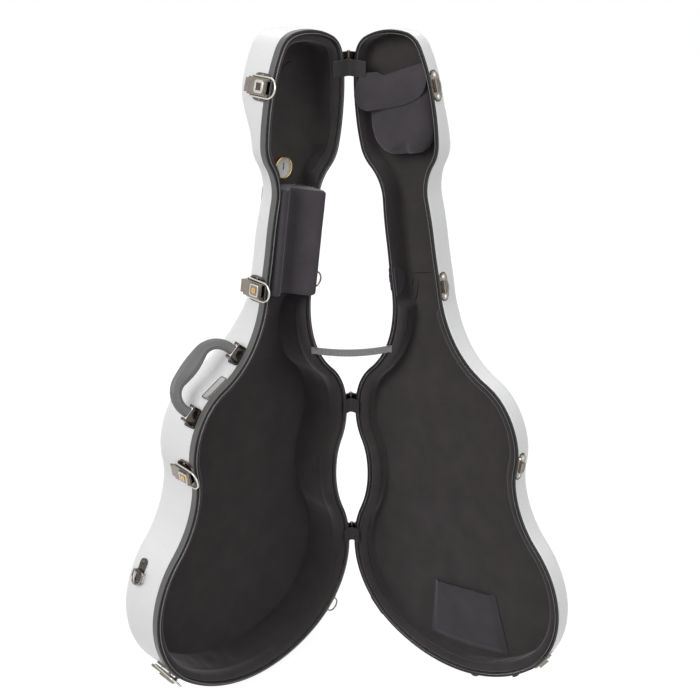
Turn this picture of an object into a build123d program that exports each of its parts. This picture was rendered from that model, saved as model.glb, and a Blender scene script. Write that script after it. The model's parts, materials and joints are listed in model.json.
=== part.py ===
from build123d import *
import math
import os

os.makedirs("parts", exist_ok=True)

# A hard case for a classical guitar, stood on its feet and opened like a book.
# Its hinge line is the Z axis. The deep body shell reaches to -X and the shallow lid to +X, both
# towards -Y, where the viewer stands. The floor is Z = 0. All sizes are in millimetres.

# Rim outline, measured across the case and up from its bottom end
case_length = 1073.0
lower_bout_width, lower_bout_height = 420.0, 176.0
waist_width, waist_height = 303.0, 371.0
upper_bout_width, upper_bout_height = 326.0, 440.0
shoulder_width, shoulder_height, shoulder_slope = 230.0, 540.0, 145.4
neck_low_width, neck_low_height = 97.0, 676.0
neck_high_width, neck_high_height = 93.0, 759.0
head_root_width, head_root_height, head_root_slope = 122.0, 874.0, 48.8
head_width, head_height = 153.0, 939.0
crown_width, crown_drop, crown_slope = 124.0, 30.0, 108.9

# How the open case stands
body_turn = 45.0
lid_turn = 40.5
lean = 9.4
hinge_gap = 5.2
floor_clearance = 4.0

# Shell depths and walls
body_depth, body_neck_depth, body_head_depth = 98.0, 50.0, 77.0
lid_depth, lid_neck_depth, lid_head_depth = 41.0, 48.0, 34.0
body_edge_radius, lid_edge_radius = 20.0, 15.0
back_step, back_bend, parallel = 6.0, 70.0, 0.999
body_head_slope, body_neck_rise, body_neck_fall = (915.0, 975.0), (760.0, 860.0), (535.0, 675.0)
lid_head_slope, lid_neck_fall = (850.0, 960.0), (540.0, 640.0)
end_margin, depth_margin, open_margin, seam_margin = 40.0, 5.0, 60.0, 1.0
shell_wall = 3.5
rim_setback = 3.0

# Rim trim
rim_gap = 0.5
band_thickness, band_depth = 1.2, 11.5
gasket_width = 3.2
lip_gap, lip_thickness = 0.1, 1.2
tongue_rise, tongue_root = 2.0, 12.0
lid_lip_front, lid_lip_root = 2.6, 10.0

# Linings
body_pad, body_base_pad = 10.0, 5.0
lid_pad, lid_base_pad = 14.0, 4.0
pad_gap = 0.3
lining_front = 3.4

# Latches: places up the latch side, and their pieces
latch_heights = (988.0, 687.0, 408.0, 66.0)
keyed_latches = (2, 3)
lever_pivot_depth, bail_pivot_depth, pivot_height = 4.5, 36.0, 6.5
base_length, base_front, base_back, base_height, base_corner = 40.0, 1.0, 38.5, 2.2, 12.0
base_root, lug_root = 3.5, 1.2
lug_inner, lug_thickness, lug_radius = 9.2, 1.4, 2.8
lever_half, lever_neck, lever_tail, lever_sheet, lever_rise = 12.4, 9.5, 44.8, 1.5, 3.1
lever_front, flange_drop = 2.5, 2.5
flange_thickness, flange_reach = 1.4, 3.0
lock_block, lock_block_front, lock_block_length, lock_block_height = 20.0, 2.6, 20.0, 2.6
tail_roll_radius, tail_roll_length = 2.2, 20.0
pivot_pin_radius, running_clearance = 1.2, 0.1
bail_wire, bail_side_gap, bail_bow_depth, bail_bend = 1.5, 0.5, -3.0, 2.2
bail_tilt = 2.5
barrel_radius, barrel_flange, barrel_flange_height, barrel_depth = 3.4, 4.4, 0.9, 2.0
keyway_length, keyway_width, keyway_depth = 4.4, 1.0, 0.7

# Catch plates on the lid
catch_length, catch_width, catch_depth, catch_sheet, catch_root = 42.0, 17.5, 10.8, 1.8, 3.0
hook_half, hook_near, hook_far, hook_round, hook_height = 9.5, 6.5, 15.3, 12.2, 4.6
hook_lip, hook_lip_height, groove_width, groove_depth = 1.0, 1.4, 1.6, 0.6
groove_places = (8.5, 12.0)
screw_spread, screw_radius, screw_dome = 15.5, 3.4, 1.5
screw_slot, screw_slot_depth = 1.0, 0.6

# Handle
handle_low, handle_high, handle_depth = 495.0, 583.0, 23.0
handle_reach, handle_droop, grip_across, grip_thick = 40.0, 37.0, 15.0, 19.0
handle_pivot_height, handle_pin_radius, grip_bend, grip_eye = 13.0, 2.5, 27.0, 6.5
bracket_length, bracket_width, bracket_sheet, bracket_root, bracket_corner = 32.0, 22.0, 2.5, 5.0, 4.0
ear_thickness, ear_gap, ear_radius, ear_root = 3.5, 0.5, 5.5, 12.0
badge_height, badge_length, badge_width, badge_sheet, badge_depth = 538.0, 46.0, 13.8, 1.2, 19.5
badge_corner, plate_overlap = 1.5, 0.4

# Strap rings: place up the side, depth behind the rim, rest angle away from hanging
hanging_ring_spot = (233.0, 62.0)
body_ring_spots = ((694.0, 9.0), (83.0, 9.0))
lid_ring_spots = ((694.0, 9.0), (78.0, 9.0))
ring_plate_length, ring_plate_width, ring_plate_sheet, plate_root = 44.0, 15.0, 1.8, 3.5
ring_wire, ring_half, ring_drop, ring_axis_height, ring_bend = 1.5, 12.0, 21.0, 5.2, 2.4
saddle_length, saddle_wall, ring_rivet_spread, rivet_radius, rivet_dome = 12.0, 1.4, 17.0, 3.6, 2.0

# Hinges on the Z axis
hinge_heights = (192.0, 447.0, 1013.0)
hinge_search, bottom_search = (0.1, 0.97), (0.0, 0.4)
knuckle_radius, knuckle_length, knuckle_gap, hinge_pin_radius = 3.0, 11.0, 0.4, 1.4
leaf_depth, leaf_front, leaf_sheet, leaf_root = 24.0, 0.7, 1.8, 6.0
pin_head, pin_lift, pin_head_radius = 1.0, 0.3, 2.4
hinge_flap_height, hinge_flap_reach, hinge_flap_sheet = 28.0, (20.0, 20.0, 36.0), 1.2
flap_stand_off = 2.6

# Stay strap between the shells
strap_height, strap_width, strap_sheet, strap_depth, strap_inset = 577.0, 12.0, 1.4, 2.2, 16.5
strap_sag, strap_tab, strap_tab_sheet = 6.0, 5.0, 1.4

# Feet
foot_radius, foot_spread, body_foot_depth, lid_foot_depth, foot_top = 8.0, 58.0, 74.0, 20.0, 30.0
foot_edge = 1.0
bumper_height, bumper_depth, bumper_radius, bumper_proud, bumper_root = 26.0, 9.0, 6.5, 4.0, 3.0

# Neck cradle in the body
cradle_low, cradle_high = 672.0, 842.0
cradle_half, cradle_high_rise, cradle_low_rise, cradle_strip = 38.0, 25.0, 7.0, 11.0
cradle_high_strip, cradle_valley_across, cradle_valley_depth = 7.0, 8.0, 9.0
cradle_slope, cradle_dip = (-14.0, 2.0), (19.0, -4.0)
cradle_end_gap, cradle_edge, neck_panel, neck_round_drop, lid_neck_low = 0.5, 3.0, 0.9, 4.0, 660.0

# Hygrometer on the base lining
gauge_height, gauge_across, gauge_radius, gauge_thickness = 869.0, 9.0, 17.0, 7.0
gauge_rim, gauge_recess, needle_length, needle_width, needle_tail = 1.8, 2.2, 8.5, 1.1, 3.0
needle_sheet, needle_lift, dial_sheet, glass_sheet = 0.4, 0.3, 0.6, 0.6

# Soft pieces in the lid
pouch_low, pouch_top, pouch_half, pouch_corner, pouch_thickness = 884.0, 1026.0, 54.0, 44.0, 11.0
pouch_top_corner, pouch_crown, pouch_side_gap = 14.0, 5.0, 4.3
flap_low, flap_top, flap_sheet, flap_corner, flap_half = 952.0, 1020.0, 2.5, 22.0, 50.0
pocket_low, pocket_high, pocket_low_half, pocket_high_half = 38.0, 146.0, 78.0, 62.0
pocket_across, pocket_sheet, pocket_room, pocket_corner = 6.0, 1.6, 6.4, 8.0
moon_height, moon_radius, moon_sheet, moon_front, moon_bulge = 690.0, 23.0, 1.4, 4.0, 26.0

# How finely places on the outline are searched for
halvings, lowest_steps, coincident = 50, 400, 1e-9

lean_cos, lean_sin = math.cos(math.radians(lean)), math.sin(math.radians(lean))


def stations():
    """The outline's right half, bottom to top: (half width, height, heading in degrees)."""
    return [
        (0.0, 0.0, 0.0),
        (lower_bout_width / 2, lower_bout_height, 90.0),
        (waist_width / 2, waist_height, 90.0),
        (upper_bout_width / 2, upper_bout_height, 90.0),
        (shoulder_width / 2, shoulder_height, shoulder_slope),
        (neck_low_width / 2, neck_low_height, 90.0),
        (neck_high_width / 2, neck_high_height, 90.0),
        (head_root_width / 2, head_root_height, head_root_slope),
        (head_width / 2, head_height, 90.0),
        (crown_width / 2, case_length - crown_drop, crown_slope),
        (0.0, case_length, 180.0),
    ]


def heading(degrees):
    """A unit vector in the outline's plane."""
    return Vector(math.cos(math.radians(degrees)), math.sin(math.radians(degrees)))


def arc_pair(start, start_way, end, end_way):
    """Two tangent arcs from start to end that leave and arrive along the given ways."""
    span = end - start
    ways = start_way + end_way
    spread = 2 * (1 - start_way.dot(end_way))
    if spread < coincident:
        reach = span.dot(span) / (4 * span.dot(end_way))
    else:
        root = math.sqrt(span.dot(ways) ** 2 + spread * span.dot(span))
        reach = (root - span.dot(ways)) / spread
    middle = (start + end + (start_way - end_way) * reach) * 0.5
    first = TangentArc(start, middle, tangent=start_way)
    TangentArc(middle, end, tangent=first % 1)


with BuildLine() as half_outline:
    places = stations()
    for (x0, y0, a0), (x1, y1, a1) in zip(places[:-1], places[1:]):
        arc_pair(Vector(x0, y0), heading(a0), Vector(x1, y1), heading(a1))
half_wire = half_outline.wire()

with BuildSketch() as rim_outline:
    with BuildLine():
        add(half_outline.line)
        mirror(half_outline.line, about=Plane.YZ)
    make_face()

outlines = {0.0: rim_outline.sketch}


def outline(inset):
    """The rim outline moved inwards by inset, or outwards where it is negative."""
    if inset not in outlines:
        with BuildSketch() as moved:
            add(rim_outline.sketch)
            offset(amount=-inset, kind=Kind.ARC, mode=Mode.REPLACE)
        outlines[inset] = moved.sketch
    return outlines[inset]


# Where the shells stand: the hinge side comes to the hinge gap, and the feet reach the floor
turned = rim_outline.sketch.rotate(Axis.Z, -lean).bounding_box()
raised = rim_outline.sketch.rotate(Axis.Z, lean).bounding_box()
centre_offset = hinge_gap + turned.max.X
stand = floor_clearance + band_thickness - raised.min.Y


def ground_ray(degrees):
    """A level unit vector at an angle from +X."""
    return Vector(math.cos(math.radians(degrees)), math.sin(math.radians(degrees)), 0)


body_out = ground_ray(180 + body_turn)
lid_out = ground_ray(-lid_turn)
body_rim = Plane(
    origin=body_out * centre_offset + Vector(0, 0, stand),
    x_dir=body_out * lean_cos + Vector(0, 0, lean_sin),
    z_dir=body_out.cross(Vector(0, 0, 1)),
)
lid_rim = Plane(
    origin=lid_out * centre_offset + Vector(0, 0, stand),
    x_dir=lid_out * lean_cos + Vector(0, 0, lean_sin),
    z_dir=lid_out.cross(Vector(0, 0, 1)),
)
BODY, LID = (body_rim, 1), (lid_rim, -1)
far = 1.2 * case_length


def spot(height):
    """The outline's point at a height, and its outward normal."""
    low, high = 0.0, 1.0
    for _ in range(halvings):
        middle = (low + high) / 2
        if (half_wire @ middle).Y < height:
            low = middle
        else:
            high = middle
    way = half_wire % low
    return half_wire @ low, Vector(way.Y, -way.X)


def wall_plane(shell, height, depth, side="latch", proud=0.0):
    """A plane on a shell's outer wall: x along the wall, y into the depth, z outwards."""
    rim, into = shell
    point, normal = spot(height)
    across = 1 if side == "latch" else -1
    outwards = rim.x_dir * (normal.X * across) + rim.y_dir * normal.Y
    inwards = rim.z_dir * into
    origin = rim.from_local_coords(Vector(point.X * across, point.Y, 0))
    return Plane(
        origin=origin + inwards * depth + outwards * proud, x_dir=inwards.cross(outwards), z_dir=outwards
    )


def facing(shell, across, height, depth):
    """A plane inside a shell: x across, y up, z into the depth or out of it as the rim's."""
    rim, into = shell
    return Plane(
        origin=rim.from_local_coords(Vector(across, height, into * depth)), x_dir=rim.x_dir, z_dir=rim.z_dir
    )


def depth_line(shell):
    """Corners of a shell's back, seen from the side: (height, depth), head first."""
    top, bottom = case_length + end_margin, -end_margin
    if shell is BODY:
        back_neck = body_neck_depth - back_step
        return [
            (top, body_head_depth),
            (body_head_slope[1], body_head_depth),
            (body_head_slope[0], back_neck),
            (body_neck_rise[1], back_neck),
            (body_neck_rise[0], body_neck_depth),
            (body_neck_fall[1], body_neck_depth),
            (body_neck_fall[0], body_depth),
            (bottom, body_depth),
        ]
    return [
        (top, lid_head_depth),
        (lid_head_slope[1], lid_head_depth),
        (lid_head_slope[0], lid_neck_depth),
        (lid_neck_fall[1], lid_neck_depth),
        (lid_neck_fall[0], lid_depth),
        (bottom, lid_depth),
    ]


def shell_form(shell, inset, front, shallower, edge_radius):
    """A solid inside the outline moved in by inset, from front to the back less shallower."""
    rim, into = shell
    corners = depth_line(shell)
    side = Plane(origin=rim.origin, x_dir=rim.y_dir, z_dir=rim.x_dir)
    line = [(height, into * (depth - shallower)) for height, depth in corners]
    top, bottom = line[0], line[-1]
    deepest = max(depth for _, depth in corners)
    with BuildPart() as form:
        with BuildSketch(rim.offset(into * front)):
            add(outline(inset))
        extrude(amount=into * (deepest + depth_margin - front))
        with BuildSketch(side):
            with BuildLine():
                FilletPolyline(*line, radius=back_bend)
                Polyline(bottom, (bottom[0], -into * open_margin), (top[0], -into * open_margin), top)
            make_face()
        extrude(amount=far, both=True, mode=Mode.INTERSECT)
        if edge_radius:
            fillet(back_edges(form.edges(), shell, front), radius=edge_radius)
    return form.part


def back_edges(edges, shell, front):
    """The sharp edges between the side wall and the back, without the seams of smooth faces."""
    rim, into = shell
    chosen = []
    for edge in edges:
        depth = into * rim.to_local_coords(edge.center()).Z
        if depth < front + seam_margin:
            continue
        if edge.geom_type == GeomType.LINE:
            way = edge % 0.5
            if abs(way.dot(rim.z_dir)) > parallel or abs(way.dot(rim.x_dir)) > parallel:
                continue
        chosen.append(edge)
    return chosen


def rim_ring(shell, outer_inset, inner_inset, front, back):
    """A flat ring that follows the rim between two insets and two depths."""
    rim, into = shell
    with BuildPart() as ring:
        with BuildSketch(rim.offset(into * front)):
            add(outline(outer_inset))
            add(outline(inner_inset), mode=Mode.SUBTRACT)
        extrude(amount=into * (back - front))
    return ring.part


def dome_radius(reach, rise):
    """The radius of a ball whose cap has this reach and rise."""
    return (reach**2 + rise**2) / (2 * rise)


def save(part, label):
    """Label a finished piece and keep it for the last step."""
    part.label = label
    pieces.append(part)


def centre_drop():
    """How far the shells' lowest point is from the centre line."""
    lower_half = [half_wire @ (step / lowest_steps) for step in range(lowest_steps // 2)]
    return min(lower_half, key=lambda at: at.Y * lean_cos - at.X * lean_sin).X


def foot_places(middle):
    """Two places across a shell, equally far from its lowest point."""
    return (middle - foot_spread, middle + foot_spread)


pieces = []
joints = []


def turns(name, frame, spot_in_frame, way):
    """Note a joint or a rest: its place and its way, both given in a frame."""
    point = frame.from_local_coords(Vector(*spot_in_frame))
    joints.append((name, point, frame.from_local_coords(Vector(*way)) - frame.origin))


# Shells: the outer forms are kept, because hardware is cut to seat on them
body_form = shell_form(BODY, 0.0, rim_setback, 0.0, body_edge_radius)
lid_form = shell_form(LID, 0.0, rim_setback, 0.0, lid_edge_radius)

with BuildPart() as body_shell:
    add(body_form)
    add(
        shell_form(BODY, shell_wall, rim_setback - seam_margin, shell_wall, body_edge_radius - shell_wall),
        mode=Mode.SUBTRACT,
    )
save(body_shell.part, "body_shell")

with BuildPart() as lid_shell:
    add(lid_form)
    add(
        shell_form(LID, shell_wall, rim_setback - seam_margin, shell_wall, lid_edge_radius - shell_wall),
        mode=Mode.SUBTRACT,
    )
save(lid_shell.part, "lid_shell")

with BuildPart() as body_rim_band:
    add(rim_ring(BODY, -band_thickness, 0.0, rim_gap, rim_gap + band_depth))
save(body_rim_band.part, "body_rim_band")

with BuildPart() as body_skin:
    add(body_form)
    with BuildSketch(body_rim.offset(rim_gap)):
        add(outline(-band_thickness))
    extrude(amount=band_depth)

with BuildPart() as lid_skin:
    add(lid_form)
    with BuildSketch(lid_rim.offset(-rim_gap)):
        add(outline(0.0))
    extrude(amount=-2 * rim_setback)

for shell, name in ((BODY, "body"), (LID, "lid")):
    with BuildPart() as gasket:
        add(rim_ring(shell, 0.0, gasket_width, rim_gap, rim_setback))
    save(gasket.part, f"{name}_gasket")

lip_inset = shell_wall + lip_gap
with BuildPart() as body_tongue:
    add(rim_ring(BODY, lip_inset, lip_inset + lip_thickness, -tongue_rise, tongue_root))
save(body_tongue.part, "body_tongue")

with BuildPart() as lid_lip:
    add(rim_ring(LID, lip_inset, lip_inset + lip_thickness, lid_lip_front, lid_lip_root))
save(lid_lip.part, "lid_lip")

# Linings: a thick roll round the side, thin where the neck cradle needs the room
pad_inset = lip_inset + lip_thickness + pad_gap
back_skin = shell_wall + pad_gap


def neck_room(shell, low):
    """The slab of a shell's neck that the cradle takes up, from a height low."""
    rim, into = shell
    with BuildPart() as slab:
        with BuildSketch(rim.offset(-into * far / 2)):
            with Locations((0, (low + cradle_high + cradle_end_gap) / 2)):
                Rectangle(lower_bout_width, cradle_high + cradle_end_gap - low)
        extrude(amount=into * far)
    return slab.part


def lining(shell, side_pad, base_pad, edge_radius, neck_from):
    """A velour lining: outer form less the bowl, with the side made thin along the neck."""
    inner_edge = max(edge_radius - side_pad, base_pad)
    neck_edge = edge_radius - shell_wall - neck_round_drop
    bowl_front = lining_front - seam_margin
    with BuildPart() as pad:
        add(shell_form(shell, pad_inset, lining_front, back_skin, edge_radius - shell_wall))
        add(
            shell_form(shell, pad_inset + side_pad, bowl_front, back_skin + base_pad, inner_edge),
            mode=Mode.SUBTRACT,
        )
        add(
            shell_form(shell, pad_inset + neck_panel, bowl_front, back_skin + base_pad, neck_edge)
            & neck_room(shell, neck_from),
            mode=Mode.SUBTRACT,
        )
    return pad.part


with BuildPart() as body_lining:
    add(lining(BODY, body_pad, body_base_pad, body_edge_radius, cradle_low - cradle_end_gap))
save(body_lining.part, "body_lining")

with BuildPart() as lid_lining:
    add(lining(LID, lid_pad, lid_base_pad, lid_edge_radius, lid_neck_low))
save(lid_lining.part, "lid_lining")

# Latch pieces, drawn once where x runs along the wall, y into the depth and z outwards
bail_leg = lever_half + bail_side_gap + bail_wire
lever_under = pivot_height + lever_rise
lever_top = lever_under + lever_sheet
block_top = lever_top + lock_block_height
barrel_spot = (0.0, lock_block_front + lock_block_length / 2)
hole_reach = 2 * base_length

with BuildPart() as latch_base:
    with BuildSketch(Plane.XY.offset(-base_root)):
        with Locations((0, (base_front + base_back) / 2)):
            RectangleRounded(base_length, base_back - base_front, base_corner)
    extrude(amount=base_root + base_height)
    for across in (-1, 1):
        with BuildSketch(Plane.YZ.offset(across * (lug_inner + lug_thickness / 2))):
            with Locations((lever_pivot_depth, pivot_height)):
                Circle(lug_radius)
            with Locations((lever_pivot_depth, (pivot_height + lug_root) / 2)):
                Rectangle(2 * lug_radius, pivot_height - lug_root)
        extrude(amount=lug_thickness / 2, both=True)
    with BuildSketch(Plane.YZ):
        with Locations((lever_pivot_depth, pivot_height)):
            Circle(pivot_pin_radius)
    extrude(amount=lever_half, both=True)

with BuildPart() as latch_lever:
    with BuildSketch(Plane.XY.offset(lever_under)):
        with Locations((0, (lever_pivot_depth - lever_front + bail_pivot_depth + flange_reach) / 2)):
            Rectangle(2 * lever_half, bail_pivot_depth + flange_reach - lever_pivot_depth + lever_front)
        with Locations((0, (bail_pivot_depth + lever_tail) / 2)):
            Rectangle(2 * lever_neck, lever_tail - bail_pivot_depth)
    extrude(amount=lever_sheet)
    with BuildSketch(Plane.XY.offset(lever_top)):
        with Locations(barrel_spot):
            Rectangle(lock_block, lock_block_length)
    extrude(amount=lock_block_height)
    for across in (-1, 1):
        with BuildSketch(Plane.YZ.offset(across * (lever_half - flange_thickness / 2))):
            with BuildLine():
                Polyline(
                    (lever_pivot_depth - lever_front, lever_top),
                    (lever_pivot_depth - lever_front, pivot_height - flange_drop),
                    (bail_pivot_depth + flange_reach, pivot_height - flange_drop),
                    (bail_pivot_depth + flange_reach, lever_top),
                    close=True,
                )
            make_face()
        extrude(amount=flange_thickness / 2, both=True)
    with BuildSketch(Plane.YZ):
        with Locations((lever_tail, lever_top - tail_roll_radius)):
            Circle(tail_roll_radius)
    extrude(amount=tail_roll_length / 2, both=True)
    with BuildSketch(Plane.YZ):
        with Locations((lever_pivot_depth, pivot_height)):
            Circle(pivot_pin_radius + running_clearance)
        with Locations((bail_pivot_depth, pivot_height)):
            Circle(bail_wire + running_clearance)
    extrude(amount=hole_reach, both=True, mode=Mode.SUBTRACT)

with BuildPart() as keyed_lever:
    add(latch_lever.part)
    with BuildSketch(Plane.XY.offset(block_top)):
        with Locations(barrel_spot):
            Circle(barrel_radius + running_clearance)
    extrude(amount=-barrel_depth - running_clearance, mode=Mode.SUBTRACT)

bail_level = Plane(origin=(0, bail_pivot_depth, pivot_height), x_dir=(1, 0, 0), z_dir=(0, 0, 1))
with BuildPart() as flat_bail:
    with BuildLine(bail_level):
        legs = bail_pivot_depth - bail_bow_depth
        pin_end = lever_half - flange_thickness
        left = FilletPolyline((-pin_end, 0), (-bail_leg, 0), (-bail_leg, -legs), radius=bail_bend)
        bow = ThreePointArc((-bail_leg, -legs), (0, -legs - bail_leg), (bail_leg, -legs))
        right = FilletPolyline((bail_leg, -legs), (bail_leg, 0), (pin_end, 0), radius=bail_bend)
    with BuildSketch(Plane(origin=left @ 0, z_dir=left % 0)):
        Circle(bail_wire)
    sweep(transition=Transition.ROUND)
bail_axis = Axis((0, bail_pivot_depth, pivot_height), (1, 0, 0))
latch_bail = flat_bail.part.rotate(bail_axis, -bail_tilt)

with BuildPart() as key_barrel:
    with BuildSketch(Plane.XY.offset(block_top - barrel_depth)):
        with Locations(barrel_spot):
            Circle(barrel_radius)
    extrude(amount=barrel_depth)
    with BuildSketch(Plane.XY.offset(block_top)):
        with Locations(barrel_spot):
            Circle(barrel_flange)
    extrude(amount=barrel_flange_height)
    with BuildSketch(Plane.XY.offset(block_top + barrel_flange_height)):
        with Locations(barrel_spot):
            Rectangle(keyway_length, keyway_width)
    extrude(amount=-keyway_depth, mode=Mode.SUBTRACT)

for number, height in enumerate(latch_heights, start=1):
    frame = wall_plane(BODY, height, 0.0)
    place = frame.location
    turns(f"latch_lever_{number}", frame, (0, lever_pivot_depth, pivot_height), (1, 0, 0))
    turns(f"latch_bail_{number}", frame, (0, bail_pivot_depth, pivot_height), (1, 0, 0))
    lever = keyed_lever.part if number in keyed_latches else latch_lever.part
    save(place * latch_base.part - body_skin.part, f"latch_base_{number}")
    save(place * lever, f"latch_lever_{number}")
    save(place * latch_bail, f"latch_bail_{number}")
    if number in keyed_latches:
        save(place * key_barrel.part, f"key_barrel_{number}")
        turns(f"key_barrel_{number}", frame, (*barrel_spot, block_top), (0, 0, 1))

# Catch plates on the lid
with BuildPart() as catch_plate:
    with BuildSketch(Plane.XY.offset(-catch_root)):
        with Locations((0, catch_depth)):
            SlotOverall(catch_length, catch_width)
    extrude(amount=catch_root + catch_sheet)
    with BuildSketch(Plane.XY.offset(catch_sheet)):
        with Locations((0, hook_far - hook_round)):
            Circle(hook_round)
        with Locations((0, (hook_near + hook_far) / 2)):
            Rectangle(2 * hook_half, hook_far - hook_near, mode=Mode.INTERSECT)
    extrude(amount=hook_height - catch_sheet)
    with BuildSketch(Plane.XY.offset(hook_height)):
        with Locations((0, hook_far - hook_round)):
            Circle(hook_round + hook_lip)
        with Locations((0, (hook_near + hook_far) / 2)):
            Rectangle(2 * hook_half, hook_far + 2 * hook_lip - hook_near, mode=Mode.INTERSECT)
    extrude(amount=hook_lip_height)
    with BuildSketch(Plane.XY.offset(hook_height + hook_lip_height)):
        for depth in groove_places:
            with Locations((0, depth)):
                Rectangle(catch_length, groove_width)
    extrude(amount=-groove_depth, mode=Mode.SUBTRACT)

with BuildPart() as catch_screws:
    for across in (-screw_spread, screw_spread):
        with BuildSketch(Plane.YZ.offset(across)):
            with BuildLine():
                edge_point = (catch_depth + screw_radius, catch_sheet)
                top_point = (catch_depth, catch_sheet + screw_dome)
                rise = RadiusArc(edge_point, top_point, -dome_radius(screw_radius, screw_dome))
                Polyline(top_point, (catch_depth, catch_sheet), edge_point)
            make_face()
        revolve(axis=Axis((across, catch_depth, 0), (0, 0, 1)))
        with BuildSketch(Plane.XY.offset(catch_sheet + screw_dome)):
            with Locations((across, catch_depth)):
                Rectangle(2 * screw_radius, screw_slot)
        extrude(amount=-screw_slot_depth, mode=Mode.SUBTRACT)

for number, height in enumerate(latch_heights, start=1):
    place = wall_plane(LID, height, 0.0).location
    save(place * catch_plate.part - lid_skin.part, f"catch_plate_{number}")
all_screws = [wall_plane(LID, height, 0.0).location * catch_screws.part for height in latch_heights]
save(Compound(children=all_screws), "catch_screws")

# Handle: the chord between its two brackets, x along it, y into the depth and z outwards
low_point, high_point = wall_plane(BODY, handle_low, 0.0).origin, wall_plane(BODY, handle_high, 0.0).origin
chord_half = (high_point - low_point).length / 2
chord_way = (high_point - low_point).normalized()
handle_out = chord_way.cross(body_rim.z_dir)
handle_frame = Plane(
    origin=(low_point + high_point) * 0.5 + body_rim.z_dir * handle_depth, x_dir=chord_way, z_dir=handle_out
)
grip_side = grip_thick / 2
handle_axis = Axis((0, 0, handle_pivot_height), (1, 0, 0))

with BuildPart() as flat_grip:
    with BuildLine(Plane.XZ) as grip_line:
        FilletPolyline(
            (-chord_half, handle_pivot_height),
            (-chord_half, handle_pivot_height + handle_reach),
            (chord_half, handle_pivot_height + handle_reach),
            (chord_half, handle_pivot_height),
            radius=grip_bend,
        )
    with BuildSketch(Plane(origin=grip_line.line @ 0, x_dir=(0, 1, 0), z_dir=grip_line.line % 0)):
        Ellipse(grip_across / 2, grip_thick / 2)
    sweep()
    for end in (-chord_half, chord_half):
        with BuildSketch(Plane.YZ.offset(end)):
            with Locations((0, handle_pivot_height)):
                Circle(grip_eye)
        extrude(amount=grip_side, both=True)
    with BuildSketch(Plane.YZ):
        with Locations((0, handle_pivot_height)):
            Circle(handle_pin_radius + running_clearance)
    extrude(amount=2 * chord_half, both=True, mode=Mode.SUBTRACT)
save(handle_frame.location * flat_grip.part.rotate(handle_axis, -handle_droop), "handle_grip")
turns("handle_grip", handle_frame, (0, 0, handle_pivot_height), (1, 0, 0))

for name, middle, height in (("low", -chord_half, handle_low), ("high", chord_half, handle_high)):
    with BuildPart() as plate:
        with BuildSketch(Plane.XY.offset(-bracket_root)):
            RectangleRounded(bracket_length, bracket_width, bracket_corner)
        extrude(amount=bracket_root + bracket_sheet)
    with BuildPart() as ears:
        for side in (-1, 1):
            at = middle + side * (grip_side + ear_gap + ear_thickness / 2)
            with BuildSketch(Plane.YZ.offset(at)):
                with Locations((0, handle_pivot_height)):
                    Circle(ear_radius)
                with Locations((0, (handle_pivot_height - ear_root) / 2)):
                    Rectangle(2 * ear_radius, handle_pivot_height + ear_root)
                with Locations((0, handle_pivot_height)):
                    Circle(handle_pin_radius, mode=Mode.SUBTRACT)
            extrude(amount=ear_thickness / 2, both=True)
    placed_plate = wall_plane(BODY, height, handle_depth).location * plate.part
    placed_ears = handle_frame.location * ears.part
    save(placed_plate + placed_ears - body_skin.part, f"handle_bracket_{name}")

with BuildPart() as pins:
    for middle in (-chord_half, chord_half):
        with BuildSketch(Plane.YZ.offset(middle)):
            with Locations((0, handle_pivot_height)):
                Circle(handle_pin_radius)
        extrude(amount=grip_side + ear_gap + ear_thickness, both=True)
save(handle_frame.location * pins.part, "handle_pins")

# Bare plate below the handle
with BuildPart() as badge:
    with BuildSketch(Plane.XY.offset(-plate_root)):
        RectangleRounded(badge_length, badge_width, badge_corner)
    extrude(amount=plate_root + badge_sheet)
save(wall_plane(BODY, badge_height, badge_depth).location * badge.part - body_skin.part, "badge_plate")

# Strap rings: one hangs below its saddle, the others stand out from saddles along the wall


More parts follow.
